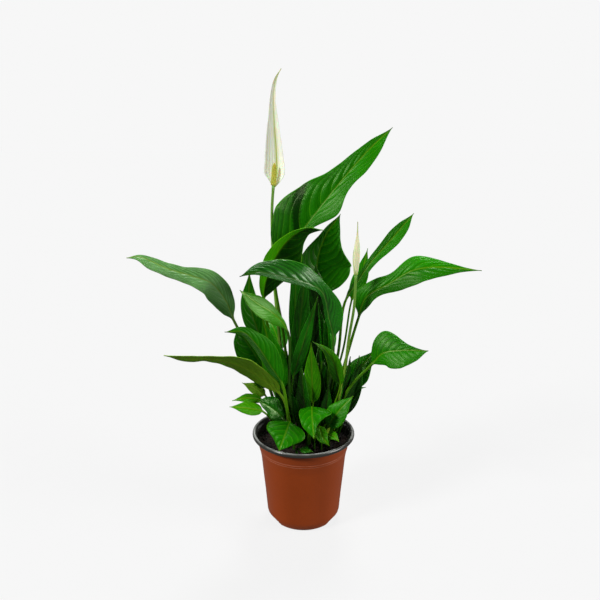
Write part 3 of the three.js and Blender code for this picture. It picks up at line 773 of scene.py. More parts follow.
@dataclass(frozen=True)
class Leaf:
    """One leaf: a round stalk out of the peat that opens into a pointed, veined blade.

    stem holds points that the stalk passes, rib the midrib from the blade's base to its tip, face the way
    the upper side looks at base and tip, half or widths the half width along the blade, right that of the
    right half where it differs, and fold how far each half is raised, in degrees. painted_shade_halves is
    how light the left and the right half are painted, as painted light and shade, ends how light base and
    tip are painted, also painted light and shade, stalk how light the stalk is, painted darker towards its
    foot as shade, and veins counts the side veins. crease is the place along the blade at which a valley
    leaves the midrib and runs out over the left half, 0 for none; the valley is sunk a little and painted
    dark as shade, and the lobe between the base and the valley is painted darker as shade.
    """

    name: str
    tone: Tone
    foot: tuple[float, float]
    stem: tuple[Point, ...]
    rib: tuple[Point, ...]
    face: tuple[Point, ...]
    widths: tuple[float, ...] = ()
    right: tuple[float, ...] = ()
    half: float = 0.0
    fold: tuple[float, float] = (10, 10)
    wave: float = 0.5
    build: Build = SLENDER
    painted_shade_halves: tuple[float, float] = (0.6, 0.6)
    ends: tuple[float, float] = (0.9, 1.0)
    veins: int = 8
    stalk: float = 0.5
    crease: float = 0.0

    def half_width(self, s: np.ndarray, right: bool) -> np.ndarray:
        """Half the blade's width on one side of the midrib.

        Args:
            s: shares along the blade.
            right: whether the right half is meant.

        Returns:
            The half width at each share, in millimetres.
        """
        if self.widths:
            return tapered(self.right if right and self.right else self.widths, s)
        skew = math.log(0.5) / math.log(0.38)
        arch = np.sin(np.pi * np.clip(s, 0.0, 0.995) ** skew)
        return np.maximum(self.half * arch ** (0.75 + 0.6 * s), THINNEST)

    def _stations(self, curve: Curve) -> tuple[np.ndarray, np.ndarray, float]:
        """Where the rings lie.

        Args:
            curve: the line of stalk and midrib.

        Returns:
            Shares of the whole length, shares along the blade (-1 on the stalk), and the blade's first share.
        """
        base = curve.share_at(3 + len(self.stem))
        stalk_rows = max(6, int(base * curve.length / 6))
        blade_rows = max(24, int((1 - base) * curve.length / self.build.row_length))
        s = np.linspace(0, 1, blade_rows + 1)
        shares = np.concatenate([np.linspace(0, base, stalk_rows, endpoint=False), base + (1 - base) * s])
        return shares, np.concatenate([np.full(stalk_rows, -1.0), s]), base

    def _edge(self, s: np.ndarray, v: np.ndarray) -> np.ndarray:
        """How far the blade swings up and down towards its edge, with fine ripples at the very edge.

        Args:
            s: shares along the blade.
            v: places across it, from -1 to 1.

        Returns:
            The rise in millimetres.
        """
        t, left, arch = np.abs(v), v < 0, np.sin(np.pi * s)
        phase = float(sum(map(ord, self.name)) % 7)
        swing = self.wave * v * v * arch * np.sin(4.4 * np.pi * s + 2.0 * left)
        return swing + 0.35 * self.wave * t ** 4 * arch * np.sin(15 * np.pi * s + phase + 1.3 * left)

    def _quilt(self, s: np.ndarray, t: np.ndarray, vein: np.ndarray, span: float) -> np.ndarray:
        """How far the blade bulges between its side veins.

        Args:
            s: shares along the blade.
            t: shares across its half.
            vein: the vein number, whole on a side vein.
            span: the widest half width in millimetres.

        Returns:
            The rise in millimetres.
        """
        inside = np.clip(t * 5, 0, 1) * (1 - t ** 4) * smooth(0.0, 0.12, s) * (1 - 0.5 * smooth(0.75, 1, s))
        bulge = np.abs(np.sin(np.pi * vein)) ** 0.8 - 0.55 + 0.12 * (np.abs(np.sin(3 * np.pi * vein)) - 0.6)
        return bulge * 0.052 * min(span, 22) * inside

    def _valley(self, s: np.ndarray, v: np.ndarray) -> tuple[np.ndarray, np.ndarray]:
        """Where the crease lies.

        Args:
            s: shares along the blade.
            v: places across it, from -1 to 1.

        Returns:
            Masks of the lobe between the base and the valley, and of the valley itself, which are also
            painted darker as shade.
        """
        t = np.abs(v)
        past = s - self.crease - 0.24 * t
        creased = (self.crease > 0) * (v < 0) * smooth(0.04, 0.1, t)
        bottom = smooth(-0.015, 0.0, past) * smooth(0.05 + 0.03 * t, 0.02 + 0.03 * t, past)
        return smooth(0.02, -0.02, past) * creased, bottom * creased

    def _shade(self, s: np.ndarray, v: np.ndarray, lobe: np.ndarray, valley: np.ndarray) -> np.ndarray:
        """How light the blade is painted: painted light and shade on each half and from base to tip, and
        painted shade on the crease's lobe and valley.

        Args:
            s: shares along the blade.
            v: places across it, from -1 to 1.
            lobe: mask of the lobe next to the base.
            valley: mask of the crease's valley.

        Returns:
            The lightness at each point.
        """
        # painted light and shade: each half, and the way from base to tip, painted lighter or darker
        half = smooth(-0.12, 0.12, v)
        ends = self.ends[0] + (self.ends[1] - self.ends[0]) * smooth(0, 0.8, s)
        light = (self.painted_shade_halves[0] * (1 - half) + self.painted_shade_halves[1] * half) * ends
        # painted shade: the crease's lobe darker and its valley dark
        return light * (1 - 0.3 * lobe) * (1 - valley) - 0.3 * valley

    def mesh(self) -> bpy.types.Mesh:
        """Lofts the stalk and blade, with vein ripples, a waved edge, a groove above and a keel below.

        Returns:
            The closed mesh, with the values that its finish reads.
        """
        curve = Curve.rooted(self.foot, (*self.stem, *self.rib))
        shares, s_all, base = self._stations(curve)
        s = np.clip(s_all, 0, 1)[:, None]
        columns = self.build.columns
        spread = np.linspace(-1, 1, columns)
        v, is_top = both_sides(np.sign(spread) * np.abs(spread) ** 1.12)
        t = np.abs(v)

        left, right = (self.half_width(s[:, 0], one)[:, None] for one in (False, True))
        scallop = np.sin(2 * np.pi * (2.6 * s + 0.3 * self.veins + 0.4 * (v < 0)))
        width = np.where(v > 0, right, left) * (1 + 0.035 * self.wave * scallop)
        angle = np.radians(self.fold[0] + (self.fold[1] - self.fold[0]) * s)
        offset = t * width
        sweep = (0.14 * t + 0.3 * t ** 2.2) * (1 - 0.4 * s)
        vein = (s - sweep) * self.veins + 40.0 + 0.5 * (v < 0) * (t > 0)
        lobe, valley = self._valley(s, v)
        quilt = self._quilt(s, t, vein, float(width.max())) * (1 - 0.8 * lobe) * (1 - 0.6 * valley)

        radius = self.build.foot + (self.build.neck - self.build.foot) * np.minimum(shares / base, 1)[:, None]
        thick = 0.26 + 0.16 * (1 - t)
        keel = 0.95 * radius * (1 - s) ** 0.8 * np.exp(-(offset / (1.1 * radius)) ** 2)
        groove = 0.4 * np.exp(-offset ** 2) * (1 - 0.6 * s)
        rise = offset * np.sin(angle) - 0.16 * width * v * v + self._edge(s, v) + quilt - 0.3 * valley
        rise = rise + np.where(is_top > 0, thick - groove, -thick - keel)

        circle = np.pi * (1 - (np.arange(columns) + 0.5) / columns)
        circle = np.concatenate([circle, -circle[::-1]])[None, :]
        flat = smooth(0, 0.1, s)
        across = radius * np.cos(circle) * (1 - flat) + v * width * np.cos(angle) * flat
        rise = radius * np.sin(circle) * (1 - flat) + rise * flat
        turn = smooth(0, 1, s)
        face = np.array(self.face[0]) * (1 - turn) + np.array(self.face[1]) * turn

        # painted shade: each stalk darker towards its foot, scaled by its stalk number
        stalk_shade = self.stalk * (0.15 + 0.85 * smooth(0.1, 0.9, (shares / base)[:, None]))
        # shade carries the painted light and shade of blade and stalk to the finish
        values = {
            "vein": np.broadcast_to(vein, across.shape),
            "offset": np.where(s_all[:, None] < 0, 0.0, offset * flat) + 0 * v,
            "across": np.broadcast_to(t, across.shape) * flat,
            "shade": self._shade(s, v, lobe, valley) * flat + stalk_shade * (1 - flat) + 0 * v,
            "under": np.broadcast_to((1 - is_top) * flat, across.shape),
        }
        return ring_mesh(f"{self.name}_leaf", curve.rings(shares, face, across, rise), values)

    def make(self, materials: dict[Tone, bpy.types.Material]) -> bpy.types.Object:
        """Builds the leaf and dresses it.

        Args:
            materials: the leaf materials by tone.

        Returns:
            The piece.
        """
        slot = LEAF_FINISHES[self.tone].slot
        return seat(f"{self.name}_leaf", self.mesh(), [f"leaf_{self.name}"], slot, materials[self.tone])


# The lightness pairs, ends and stalk numbers below paint light and shade into each leaf; the low leaves in
# the middle are painted nearly black as shade.
LEAVES: tuple[Leaf, ...] = (
    Leaf("top", Tone.MID, (-11, 12), ((-23, 27, 215),),
         ((-31, 24, 307), (0, 24, 345), (38, 28, 393), (71, 35, 430), (99, 47, 455)),
         face=((-0.25, -0.88, 0.42), (-0.3, -0.9, 0.35)), widths=(33, 42, 35, 19, 13, 7),
         right=(6, 9, 23, 16, 15, 10.5), fold=(26, 8), wave=1.5, build=STOUT, painted_shade_halves=(0.55, 0.78),
         ends=(0.75, 1.05), veins=11, crease=0.17),
    Leaf("fold", Tone.BRIGHT, (-17, 7), ((-34, 12, 204),),
         ((-44, -12, 270), (-38, -17, 304), (-18, -20, 338), (2, -19, 351), (20, -15, 349)),
         face=((0.57, -0.8, 0.1), (0.1, -0.7, -0.7)), widths=(12, 20, 24, 18, 10),
         right=(14, 25, 29, 22, 11), fold=(38, 38), wave=0.8, build=STOUT, painted_shade_halves=(1.0, 0.0), ends=(1.0, 0.9),
         veins=9),
    Leaf("front_arch", Tone.GLOSSY, (13, -8), ((29, -9, 172),),
         ((33, -16, 225), (27, -28, 256), (19, -42, 288), (1, -54, 301), (-22, -62, 309),
          (-46, -70, 315), (-63, -76, 312)),
         face=((0.1, -0.97, 0.2), (0, -0.75, 0.65)), widths=(4, 4, 4, 5, 5, 4),
         right=(14, 16, 9, 17, 20, 12), build=STOUT, painted_shade_halves=(0.9, 0.85), ends=(1.3, 0.3), veins=13),
    Leaf("right_high", Tone.MID, (22, 6), ((40, 8, 203),),
         ((47, 14, 262), (61, 17, 285), (75, 20, 306), (96, 26, 329), (125, 36, 361)),
         face=((-0.35, -0.85, 0.4),) * 2, widths=(4, 4.5, 4.5, 6.5, 8, 5.5), right=(4, 5, 6, 8.5, 10.5, 8),
         fold=(14, 14), wave=0.8, build=STOUT, painted_shade_halves=(0.45, 0.75), veins=9),
    Leaf("right_behind", Tone.MID, (20, 14), ((47, 26, 201),),
         ((56, 28, 261), (67, 32, 291), (74, 36, 321)),
         face=((-0.1, -0.95, 0.3),) * 2, half=9, fold=(12, 12), painted_shade_halves=(0.8, 0.8), ends=(0.8, 1.0), veins=6),
    Leaf("right_long", Tone.MID, (26, -3), ((47, -8, 198),),
         ((60, -12, 250), (68, -14, 275), (93, -18, 292), (114, -22, 306), (135, -26, 311),
          (186, -33, 309)),
         face=((-0.3, -0.85, 0.4), (0, -0.75, 0.65)), widths=(12, 12, 9, 16, 9, 3),
         right=(8.5, 8, 14, 17, 12.5, 4.5), fold=(12, 12), wave=1, build=STOUT, painted_shade_halves=(0.95, 0.55),
         ends=(0.5, 1.15), veins=10),
    Leaf("back_wide", Tone.MID, (12, 21), ((16, 38, 172),),
         ((22, 50, 257), (16, 53, 299), (26, 58, 332), (44, 66, 357)),
         face=((0.3, -0.93, 0.07), (0, -0.95, 0.2)), widths=(24, 29, 19, 8, 4), right=(36, 44, 38, 25, 13),
         fold=(24, 10), wave=1, build=STOUT, painted_shade_halves=(0.25, 0.55), ends=(0.75, 1.25), veins=10),
    Leaf("left_long", Tone.GREY, (-26, 4), ((-44, 1, 176),),
         ((-76, -16, 248), (-84, -22, 273), (-98, -28, 294), (-114, -33, 302), (-140, -40, 312),
          (-167, -48, 326), (-179, -52, 326)),
         face=((0.3, -0.8, 0.5), (0.05, -0.6, 0.8)), widths=(12, 16, 15, 11, 9, 10),
         right=(8, 14.5, 14, 8, 8, 5), wave=1.2, build=STOUT, painted_shade_halves=(0.8, 0.85), ends=(0.8, 1.0), veins=13),
    Leaf("left_low", Tone.OLIVE, (-17, -13), ((-20, -24, 153),),
         ((-25, -26, 165), (-48, -36, 192), (-74, -45, 210), (-101, -54, 219), (-121, -60, 221),
          (-144, -66, 227)),
         face=((0.1, 0.75, 0.65), (0.1, 0.6, 0.8)), widths=(12, 16, 19, 17, 10, 9),
         right=(12, 15, 15, 14, 9, 10), wave=0.8, build=STOUT, painted_shade_halves=(0.85, 1.0), veins=9, stalk=0.45),
    Leaf("left_broad", Tone.DARK, (-21, -1), ((-25, -4, 138),),
         ((-31, -8, 164), (-47, -12, 195), (-62, -15, 222), (-73, -18, 244)),
         face=((0.1, -0.95, 0.3),) * 2, widths=(15, 18, 18, 18, 13), right=(15, 17, 16, 12, 7), fold=(8, 8),
         wave=0.8, build=STOUT, painted_shade_halves=(0.4, 0.4), ends=(0.8, 0.9)),
    Leaf("left_fold", Tone.MID, (-11, -17), ((-18, -30, 147),),
         ((-23, -36, 181), (-36, -41, 206), (-50, -45, 231), (-63, -49, 246), (-82, -56, 249)),
         face=((0.51, -0.77, 0.39), (0.2, -0.8, 0.5)), widths=(5, 7, 7, 6, 5, 3),
         right=(9, 15, 17, 14, 9, 5), fold=(28, 18), wave=0.4, build=STOUT, painted_shade_halves=(0.2, 0.75),
         ends=(0.9, 0.8), veins=9, stalk=0.7),
    Leaf("left_upright", Tone.MID, (-24, 13), ((-39, 15, 177),),
         ((-49, 18, 214), (-62, 20, 259), (-62, 24, 297)),
         face=((0.2, -0.95, 0.2),) * 2, half=12.5, fold=(12, 12), build=STOUT, painted_shade_halves=(0.35, 0.35),
         ends=(0.8, 1.0), veins=7),
    Leaf("left_glossy", Tone.SHINY, (-9, -11), ((-16, -25, 173),),
         ((-17, -33, 241), (-30, -42, 263), (-48, -51, 278), (-65, -58, 294)),
         face=((0.2, -0.75, 0.6),) * 2, widths=(5, 10.5, 12.5, 11, 7), right=(3, 5.5, 9, 9.5, 5), wave=0.6,
         build=STOUT, painted_shade_halves=(0.85, 0.9), ends=(0.9, 0.95), veins=11, stalk=0.12),
    Leaf("left_mid", Tone.MID, (-15, -6), ((-19, -16, 148),),
         ((-23, -18, 168), (-35, -20, 211), (-45, -24, 255)),
         face=((0.1, -0.95, 0.2),) * 2, half=14, wave=0.8, build=STOUT, painted_shade_halves=(0.6, 0.7), ends=(0.9, 0.9),
         veins=7),
    Leaf("centre_far", Tone.DARK, (-4, 18), ((-6, 18, 152),),
         ((-9, 17, 190), (-10, 18, 245), (-8, 20, 312)),
         face=((0, -1, 0.1),) * 2, widths=(4, 6, 7, 7, 6, 5), right=(6, 8, 8.5, 8, 7, 5), fold=(12, 12),
         painted_shade_halves=(0.5, 0.5), ends=(0.6, 1.0), veins=6),
    Leaf("centre_dark", Tone.DARK, (-2, 3), ((-6, 4, 146),),
         ((-9, 4, 164), (-5, 6, 228), (2, 12, 300)),
         face=((0.2, -0.95, 0.1),) * 2, widths=(8, 9, 9, 7.5, 5), right=(12, 13, 12.5, 10, 6), fold=(12, 12),
         painted_shade_halves=(0.25, 0.4), ends=(0.8, 1.0), veins=6),
    Leaf("centre_narrow", Tone.DARK, (-4, -5), ((-14, -12, 154),),
         ((-12, -14, 181), (-1, -20, 224), (15, -22, 278)),
         face=((0.3, -0.9, 0.2),) * 2, half=8, fold=(22, 22), wave=0.3, painted_shade_halves=(0.85, 0.85), ends=(1.0, 1.0),
         veins=6, stalk=0.7),
    Leaf("centre_back", Tone.DARK, (4, 11), ((5, 14, 161),),
         ((9, 16, 180), (13, 18, 236), (14, 22, 305)),
         face=((0, -1, 0.15),) * 2, widths=(9, 12, 13, 13, 12, 8), fold=(12, 12), painted_shade_halves=(0.1, 0.1),
         ends=(0.8, 1.0), veins=6),
    Leaf("low_left", Tone.DARK, (-9, 2), (),
         ((-12, 6, 124), (-16, 8, 165), (-19, 10, 205)),
         face=((0.1, -1, 0.1),) * 2, half=11.5, wave=0.4, painted_shade_halves=(0.1, 0.1), ends=(0.8, 1.0), veins=5),
    Leaf("low_middle", Tone.DARK, (5, -5), (),
         ((7, -3, 124), (11, -3, 160), (13, -2, 200)),
         face=((0, -1, 0.1),) * 2, half=12, wave=0.4, painted_shade_halves=(0.1, 0.1), ends=(0.8, 1.0), veins=5),
    Leaf("low_right", Tone.DARK, (12, 12), (),
         ((15, 12, 124), (21, 12, 160), (24, 13, 200)),
         face=((0, -1, 0.1),) * 2, half=11, wave=0.4, painted_shade_halves=(0.1, 0.15), ends=(0.8, 1.0), veins=5),
    Leaf("low_rear", Tone.DARK, (-3, 11), (),
         ((-6, 11, 122), (-8, 12, 156), (-10, 14, 186)),
         face=((0, -1, 0.1),) * 2, half=10, wave=0.4, painted_shade_halves=(0.1, 0.1), ends=(0.8, 1.0), veins=5),
    Leaf("rear_left", Tone.MID, (-13, 27), ((-22, 42, 150),),
         ((-28, 54, 190), (-38, 74, 214), (-50, 96, 222)),
         face=((0.2, -0.6, 0.75), (0.2, -0.4, 0.9)), half=15, wave=0.8, build=STOUT),
    Leaf("rear_middle", Tone.DARK, (3, 28), ((2, 46, 150),),
         ((2, 60, 195), (0, 80, 227), (-6, 106, 235)),
         face=((0, -0.6, 0.8), (0, -0.3, 0.95)), half=9, fold=(12, 12), wave=0.4, veins=6),
    Leaf("rear_right", Tone.MID, (21, 22), ((26, 42, 148),),
         ((28, 54, 183), (32, 74, 203), (36, 98, 203)),
         face=((-0.1, -0.5, 0.85), (-0.1, 0, 1)), half=11, wave=0.6, veins=6),
    Leaf("rear_low_left", Tone.MID, (-22, 23), (),
         ((-38, 44, 143), (-50, 58, 160), (-66, 76, 164)),
         face=((0.4, -0.4, 0.85), (0.2, -0.2, 0.95)), half=13, wave=0.8, painted_shade_halves=(0.7, 0.6), veins=7),
    Leaf("rear_low_right", Tone.DARK, (30, 19), (),
         ((42, 42, 141), (50, 58, 157), (62, 78, 158)),
         face=((-0.4, -0.4, 0.85), (-0.2, -0.2, 0.95)), half=13, wave=0.8, painted_shade_halves=(0.7, 0.7), veins=7),
    Leaf("striped_left", Tone.DARK, (11, 3), ((19, 7, 165),),
         ((21, 8, 190), (20, 9, 226), (16, 12, 266)),
         face=((0.5, -0.8, 0.1),) * 2, half=8, fold=(50, 50), wave=0.2, painted_shade_halves=(0.8, 0.3), veins=5),
    Leaf("striped_right", Tone.DARK, (18, -1), ((28, 1, 172),),
         ((29, 1, 194), (28, 0, 226), (25, 2, 262)),
         face=((-0.4, -0.9, 0.1),) * 2, half=7, fold=(50, 50), wave=0.2, painted_shade_halves=(0.3, 0.8), veins=5),
    Leaf("front_upright", Tone.BRIGHT, (7, -14), (),
         ((10, -22, 153), (9, -26, 193), (8, -22, 226)),
         face=((0, -0.97, 0.2),) * 2, half=10, fold=(14, 14), painted_shade_halves=(0.6, 0.5), ends=(0.8, 0.9), veins=6),
    Leaf("centre_arch", Tone.BRIGHT, (20, -11), ((37, -19, 157),),
         ((41, -22, 175), (38, -26, 189), (32, -31, 207), (23, -36, 222), (9, -42, 234)),
         face=((-0.3, -0.9, 0.3), (0.3, -0.7, 0.65)), half=8.5, fold=(26, 26), wave=0.3, painted_shade_halves=(0.1, 0.7),
         ends=(0.8, 0.6), veins=7),
    Leaf("right_low", Tone.MID, (29, -17), ((51, -20, 171),),
         ((75, -22, 200), (86, -27, 215), (104, -34, 221), (132, -46, 225)),
         face=((-0.3, -0.8, 0.5), (0, -0.8, 0.6)), widths=(11, 24, 18, 8, 2.5),
         right=(11, 18, 20, 17.5, 11.5), fold=(8, 8), wave=0.6, build=STOUT, painted_shade_halves=(0.6, 0.72),
         ends=(1.0, 0.85), veins=9),
    Leaf("right_hidden", Tone.MID, (33, 3), ((46, 2, 140),),
         ((49, 2, 160), (63, 4, 181), (82, 8, 207)),
         face=((-0.3, -0.9, 0.3),) * 2, half=15, fold=(12, 12), painted_shade_halves=(0.5, 0.35), veins=7),
    Leaf("right_thin", Tone.DARK, (30, 11), ((39, 14, 137),),
         ((50, 24, 149), (63, 36, 147), (78, 48, 144)),
         face=((0, -0.2, 1),) * 2, half=4, wave=0.2, painted_shade_halves=(0.5, 0.5), veins=4),
    Leaf("right_small", Tone.MID, (20, -18), (),
         ((27, -33, 130), (41, -33, 152), (55, -31, 167)),
         face=((-0.2, -0.75, 0.6),) * 2, half=12, wave=0.8, painted_shade_halves=(0.7, 0.6), veins=6),
    Leaf("right_curl", Tone.OLIVE, (37, 12), (),
         ((46, 15, 120), (53, 19, 131), (59, 23, 137)),
         face=((-0.2, -0.6, 0.7),) * 2, half=6, fold=(20, 20), wave=1, painted_shade_halves=(0.8, 0.8), veins=5),
    Leaf("front_heart", Tone.MID, (4, -21), (),
         ((9, -30, 153), (9, -46, 150), (11, -61, 130)),
         face=((0, -0.3, 0.95), (0, -0.85, 0.5)), widths=(18, 22, 12, 5, 2.5), right=(12, 14, 13.5, 11, 6),
         fold=(6, 6), wave=0.8, painted_shade_halves=(0.75, 0.8), ends=(0.7, 1.0), veins=5),
    Leaf("front_left", Tone.MID, (-11, -24), (),
         ((-15, -38, 139), (-20, -49, 130), (-27, -58, 114)),
         face=((0.1, -0.35, 0.93), (-0.1, -0.9, 0.4)), widths=(17, 21, 19, 12, 6),
         right=(18, 23.5, 21, 13, 6), fold=(6, 6), wave=0.8, painted_shade_halves=(0.75, 0.7), ends=(0.5, 1.0), veins=6),
    Leaf("front_curl", Tone.BRIGHT, (12, -25), (),
         ((17, -43, 136), (20, -50, 128), (28, -54, 118)),
         face=((0, -0.4, 0.9), (-0.2, -0.8, 0.6)), half=7, fold=(8, 8), wave=1.2, painted_shade_halves=(0.4, 0.45),
         ends=(0.7, 1.0), veins=5),
    Leaf("front_curl_tip", Tone.BRIGHT, (20, -25), (),
         ((27, -41, 124), (33, -44, 125), (39, -46, 119)),
         face=((0, -0.4, 0.9), (0, -0.6, 0.8)), half=5, fold=(8, 8), wave=0.8, ends=(0.7, 1.0), veins=4),
    Leaf("left_pale", Tone.PALE, (-29, -3), ((-38, -7, 144),),
         ((-44, -9, 158), (-55, -14, 168), (-69, -20, 178)),
         face=((0.2, -0.75, 0.6),) * 2, half=7, painted_shade_halves=(0.65, 0.7), veins=6),
    Leaf("left_tip_upper", Tone.BRIGHT, (-25, -9), ((-34, -18, 143),),
         ((-46, -22, 157), (-62, -28, 163), (-79, -35, 163)),
         face=((0.1, -0.6, 0.8),) * 2, half=6, painted_shade_halves=(0.7, 0.7), ends=(0.8, 1.0), veins=6),
    Leaf("left_tip_lower", Tone.BRIGHT, (-24, -16), ((-35, -33, 137),),
         ((-45, -39, 152), (-61, -44, 158), (-80, -51, 163)),
         face=((0.1, -0.65, 0.75),) * 2, half=8, painted_shade_halves=(0.8, 0.8), ends=(0.7, 1.0), veins=6),
    Leaf("left_dark", Tone.DARK, (-18, -21), (),
         ((-22, -29.5, 137), (-34, -33.5, 152), (-50, -37, 164)),
         face=((0.2, -0.8, 0.5),) * 2, widths=(8, 10, 9, 6, 4), right=(5, 9, 12, 12, 8), wave=0.8,
         painted_shade_halves=(0.5, 0.5), veins=6),
    Leaf("peat", Tone.DARK, (-8, -41), (),
         ((-4, -47, 110), (2, -48, 110), (10, -50, 109)),
         face=((0, -0.3, 0.95),) * 2, half=5, fold=(8, 8), wave=0.3, painted_shade_halves=(0.4, 0.4), veins=4),
)


# ---- flowers ------------------------------------------------------------------------------------
@dataclass(frozen=True)
class FlowerStalk:
    """A flower's round stalk, from the peat up."""

    name: str
    foot: tuple[float, float]
    path: tuple[Point, ...]
    radii: tuple[float, float]
    sides: int = 20
    row_length: float = 4.0

    def make(self, material: bpy.types.Material) -> bpy.types.Object:
        """Builds the stalk and dresses it.

        Args:
            material: its finish.

        Returns:
            The piece.
        """
        curve = Curve.rooted(self.foot, self.path)
        shares = np.linspace(0, 1, int(curve.length / self.row_length))
        turn, share = around(self.sides), shares[:, None]
        radius = self.radii[0] + (self.radii[1] - self.radii[0]) * share
        radius = radius * (1 + 0.03 * np.sin(3 * turn + 9 * share)) + 0.25 * smooth(0.975, 1.0, share)
        rings = curve.rings(shares, FRONT, radius * np.cos(turn), radius * np.sin(turn))
        values = {"along": share + 0 * turn, "across": 0 * share - turn / math.tau}
        mesh = ring_mesh(f"{self.name}_stalk", rings, values)
        return seat(f"{self.name}_stalk", mesh, [f"stalk_{self.name}"], "stalk", material)


@dataclass(frozen=True)
class OpenFlower:
    """The white hood that stands behind and round the flower spike.

    rib is its middle line, face the way its inside looks, widths the half width along it, and fold how far
    its sides turn forward, in degrees.
    """

    rib: tuple[Point, ...]
    face: Point
    widths: tuple[float, ...]
    fold: float
    rows: int = 110
    columns: int = 25
    ribs: int = 9

    def make(self, material: bpy.types.Material) -> bpy.types.Object:
        """Builds the hood and dresses it.

        Args:
            material: its finish.

        Returns:
            The piece.
        """
        shares = np.linspace(0, 1, self.rows)
        s = shares[:, None]
        v, is_top = both_sides(np.linspace(-1, 1, self.columns))
        t = np.abs(v)
        width = tapered(self.widths, shares)[:, None]
        wrap = math.radians(self.fold)
        curl = np.sin(wrap) * t ** 1.5 * width + 0.5 * np.sin(13 * s + 2.5 * v) * t ** 2 * (1 - s)
        ribs = 0.09 * np.cos(v * self.ribs * np.pi) * (1 - t) * (1 - s)
        thick = 0.28 + 0.1 * (1 - t)
        middle = np.exp(-(t * width / 0.9) ** 2)
        rise = curl + ribs + np.where(is_top > 0, thick, -thick - 0.8 * (1 - s) ** 1.5 * middle)
        across = v * width * (1 - (1 - np.cos(wrap)) * t ** 0.5)
        rings = Curve(self.rib).rings(shares, np.array(self.face), across, rise)
        blush = 0.42 * np.exp(-((v * width - 0.8) / 3.0) ** 2) * (1 - 0.7 * smooth(0.3, 0.8, s))
        green = np.maximum(0.75 * middle * (1 - 0.35 * s) + blush, 0.9 * (1 - smooth(0.0, 0.1, s)))
        green = np.maximum(green, 0.75 * smooth(0.8, 0.97, s))
        mesh = ring_mesh("open_spathe", rings, {"across": v * 0.5 + 0 * s, "shade": green + 0 * v})
        return seat("open_spathe", mesh, ["spathe_open"], "spathe", material)


@dataclass(frozen=True)
class FurledFlower:
    """A flower still rolled up: a spindle whose free edge winds round it."""

    start: Point
    end: Point
    radius: float = 3.6
    rows: int = 80
    sides: int = 48

    def make(self, material: bpy.types.Material) -> bpy.types.Object:
        """Builds the bud and dresses it.

        Args:
            material: its finish.

        Returns:
            The piece.
        """
        start, end = np.array(self.start), np.array(self.end)
        share, turn = np.linspace(0, 1, self.rows)[:, None], around(self.sides)
        axis = unit(end - start)
        side = unit(np.cross(axis, FRONT))
        up = np.cross(side, axis)
        body = self.radius * (0.42 + 0.58 * np.sin(np.pi * np.minimum(share * 1.15 + 0.08, 1)))
        body = body * (1 - 0.75 * smooth(0.45, 1, share))
        wind = (-turn / math.tau + 0.62 * share + 0.3) % 1.0
        radius = np.maximum(body * (0.92 + 0.2 * wind ** 1.5), 0.4)
        centre = start + (end - start) * share + side * (0.5 * np.sin(2.6 * share) * share)
        flat = centre[:, None, :] + (radius * np.cos(turn))[..., None] * side
        rings = flat + (radius * np.sin(turn))[..., None] * up
        ends = np.maximum(0.85 * (1 - smooth(0.0, 0.14, share)), 0.7 * smooth(0.6, 0.95, share))
        green = np.maximum(np.maximum(ends, 0.7 * smooth(0.93, 0.99, wind)), 0.16)
        mesh = ring_mesh("furled_spathe", rings, {"across": wind, "shade": green})
        return seat("furled_spathe", mesh, ["spathe_furled"], "spathe", material)


class GeometryTree:
    """A Geometry Nodes tree with named inputs that ends in real faces of one material."""

    def __init__(self, name: str, sizes: dict[str, tuple[str, Any]], material: bpy.types.Material) -> None:
        """Starts the tree.

        Args:
            name: the tree's name.
            sizes: input names to their socket type and value.
            material: the finish of everything that the tree makes.
        """
        self.tree = bpy.data.node_groups.new(name, "GeometryNodeTree")
        self.graph = Graph(self.tree)
        for way in ("INPUT", "OUTPUT"):
            self.tree.interface.new_socket(name="Geometry", in_out=way, socket_type="NodeSocketGeometry")
        for key, (kind, _) in sizes.items():
            self.tree.interface.new_socket(name=key, in_out="INPUT", socket_type=f"NodeSocket{kind}")
        self.sizes = {key: value for key, (_, value) in sizes.items()}
        self.given = self.graph.add("NodeGroupInput").outputs
        self.material = material

    def random(self, kind: str, low: Any, high: Any, seed: Any) -> bpy.types.NodeSocket:
        """Adds a random value for each point.

        Args:
            kind: FLOAT or FLOAT_VECTOR.
            low: the least value.
            high: the greatest value.
            seed: the seed, or the output that gives it.

        Returns:
            The value's output.
        """
        first = 2 if kind == "FLOAT" else 0
        inputs = {first: low, first + 1: high, "Seed": seed}
        return self.graph.add("FunctionNodeRandomValue", inputs, data_type=kind).outputs[first // 2]

    def copies(self, points: bpy.types.Node, shape: bpy.types.Node, **more: Any) -> bpy.types.Node:
        """Sets a shape on points.

        Args:
            points: the node that gives the points.
            shape: the node that gives the shape.
            more: the copies' Rotation and Scale, where they have them.

        Returns:
            The node that gives the copies.
        """
        inputs = {0: points.outputs[0], "Instance": shape.outputs[0], **more}
        return self.graph.add("GeometryNodeInstanceOnPoints", inputs)

    def close(self, geometry: bpy.types.Node) -> None:
        """Ends the tree in Realize Instances and Set Material.

        Args:
            geometry: the node that gives the finished geometry.
        """
        real = self.graph.add("GeometryNodeRealizeInstances", {0: geometry.outputs[0]})
        dressed = self.graph.add("GeometryNodeSetMaterial", {0: real.outputs[0], "Material": self.material})
        self.graph.add("NodeGroupOutput", {0: dressed.outputs[0]})

    def apply(self, name: str, base: bpy.types.Mesh) -> bpy.types.Mesh:
        """Runs the tree on a mesh.

        Args:
            name: the new mesh's name.
            base: the mesh that the tree starts from.

        Returns:
            The finished plain mesh.
        """
        carrier = bpy.data.objects.new(name, base)
        bpy.context.scene.collection.objects.link(carrier)
        modifier = carrier.modifiers.new("tree", "NODES")
        modifier.node_group = self.tree
        for item in self.tree.interface.items_tree:
            if item.in_out == "INPUT" and item.name in self.sizes:
                modifier[item.identifier] = self.sizes[item.name]
        graph = bpy.context.evaluated_depsgraph_get()
        mesh = bpy.data.meshes.new_from_object(carrier.evaluated_get(graph))
        bpy.data.objects.remove(carrier)
        mesh.name = name
        mesh.shade_smooth()
        return mesh


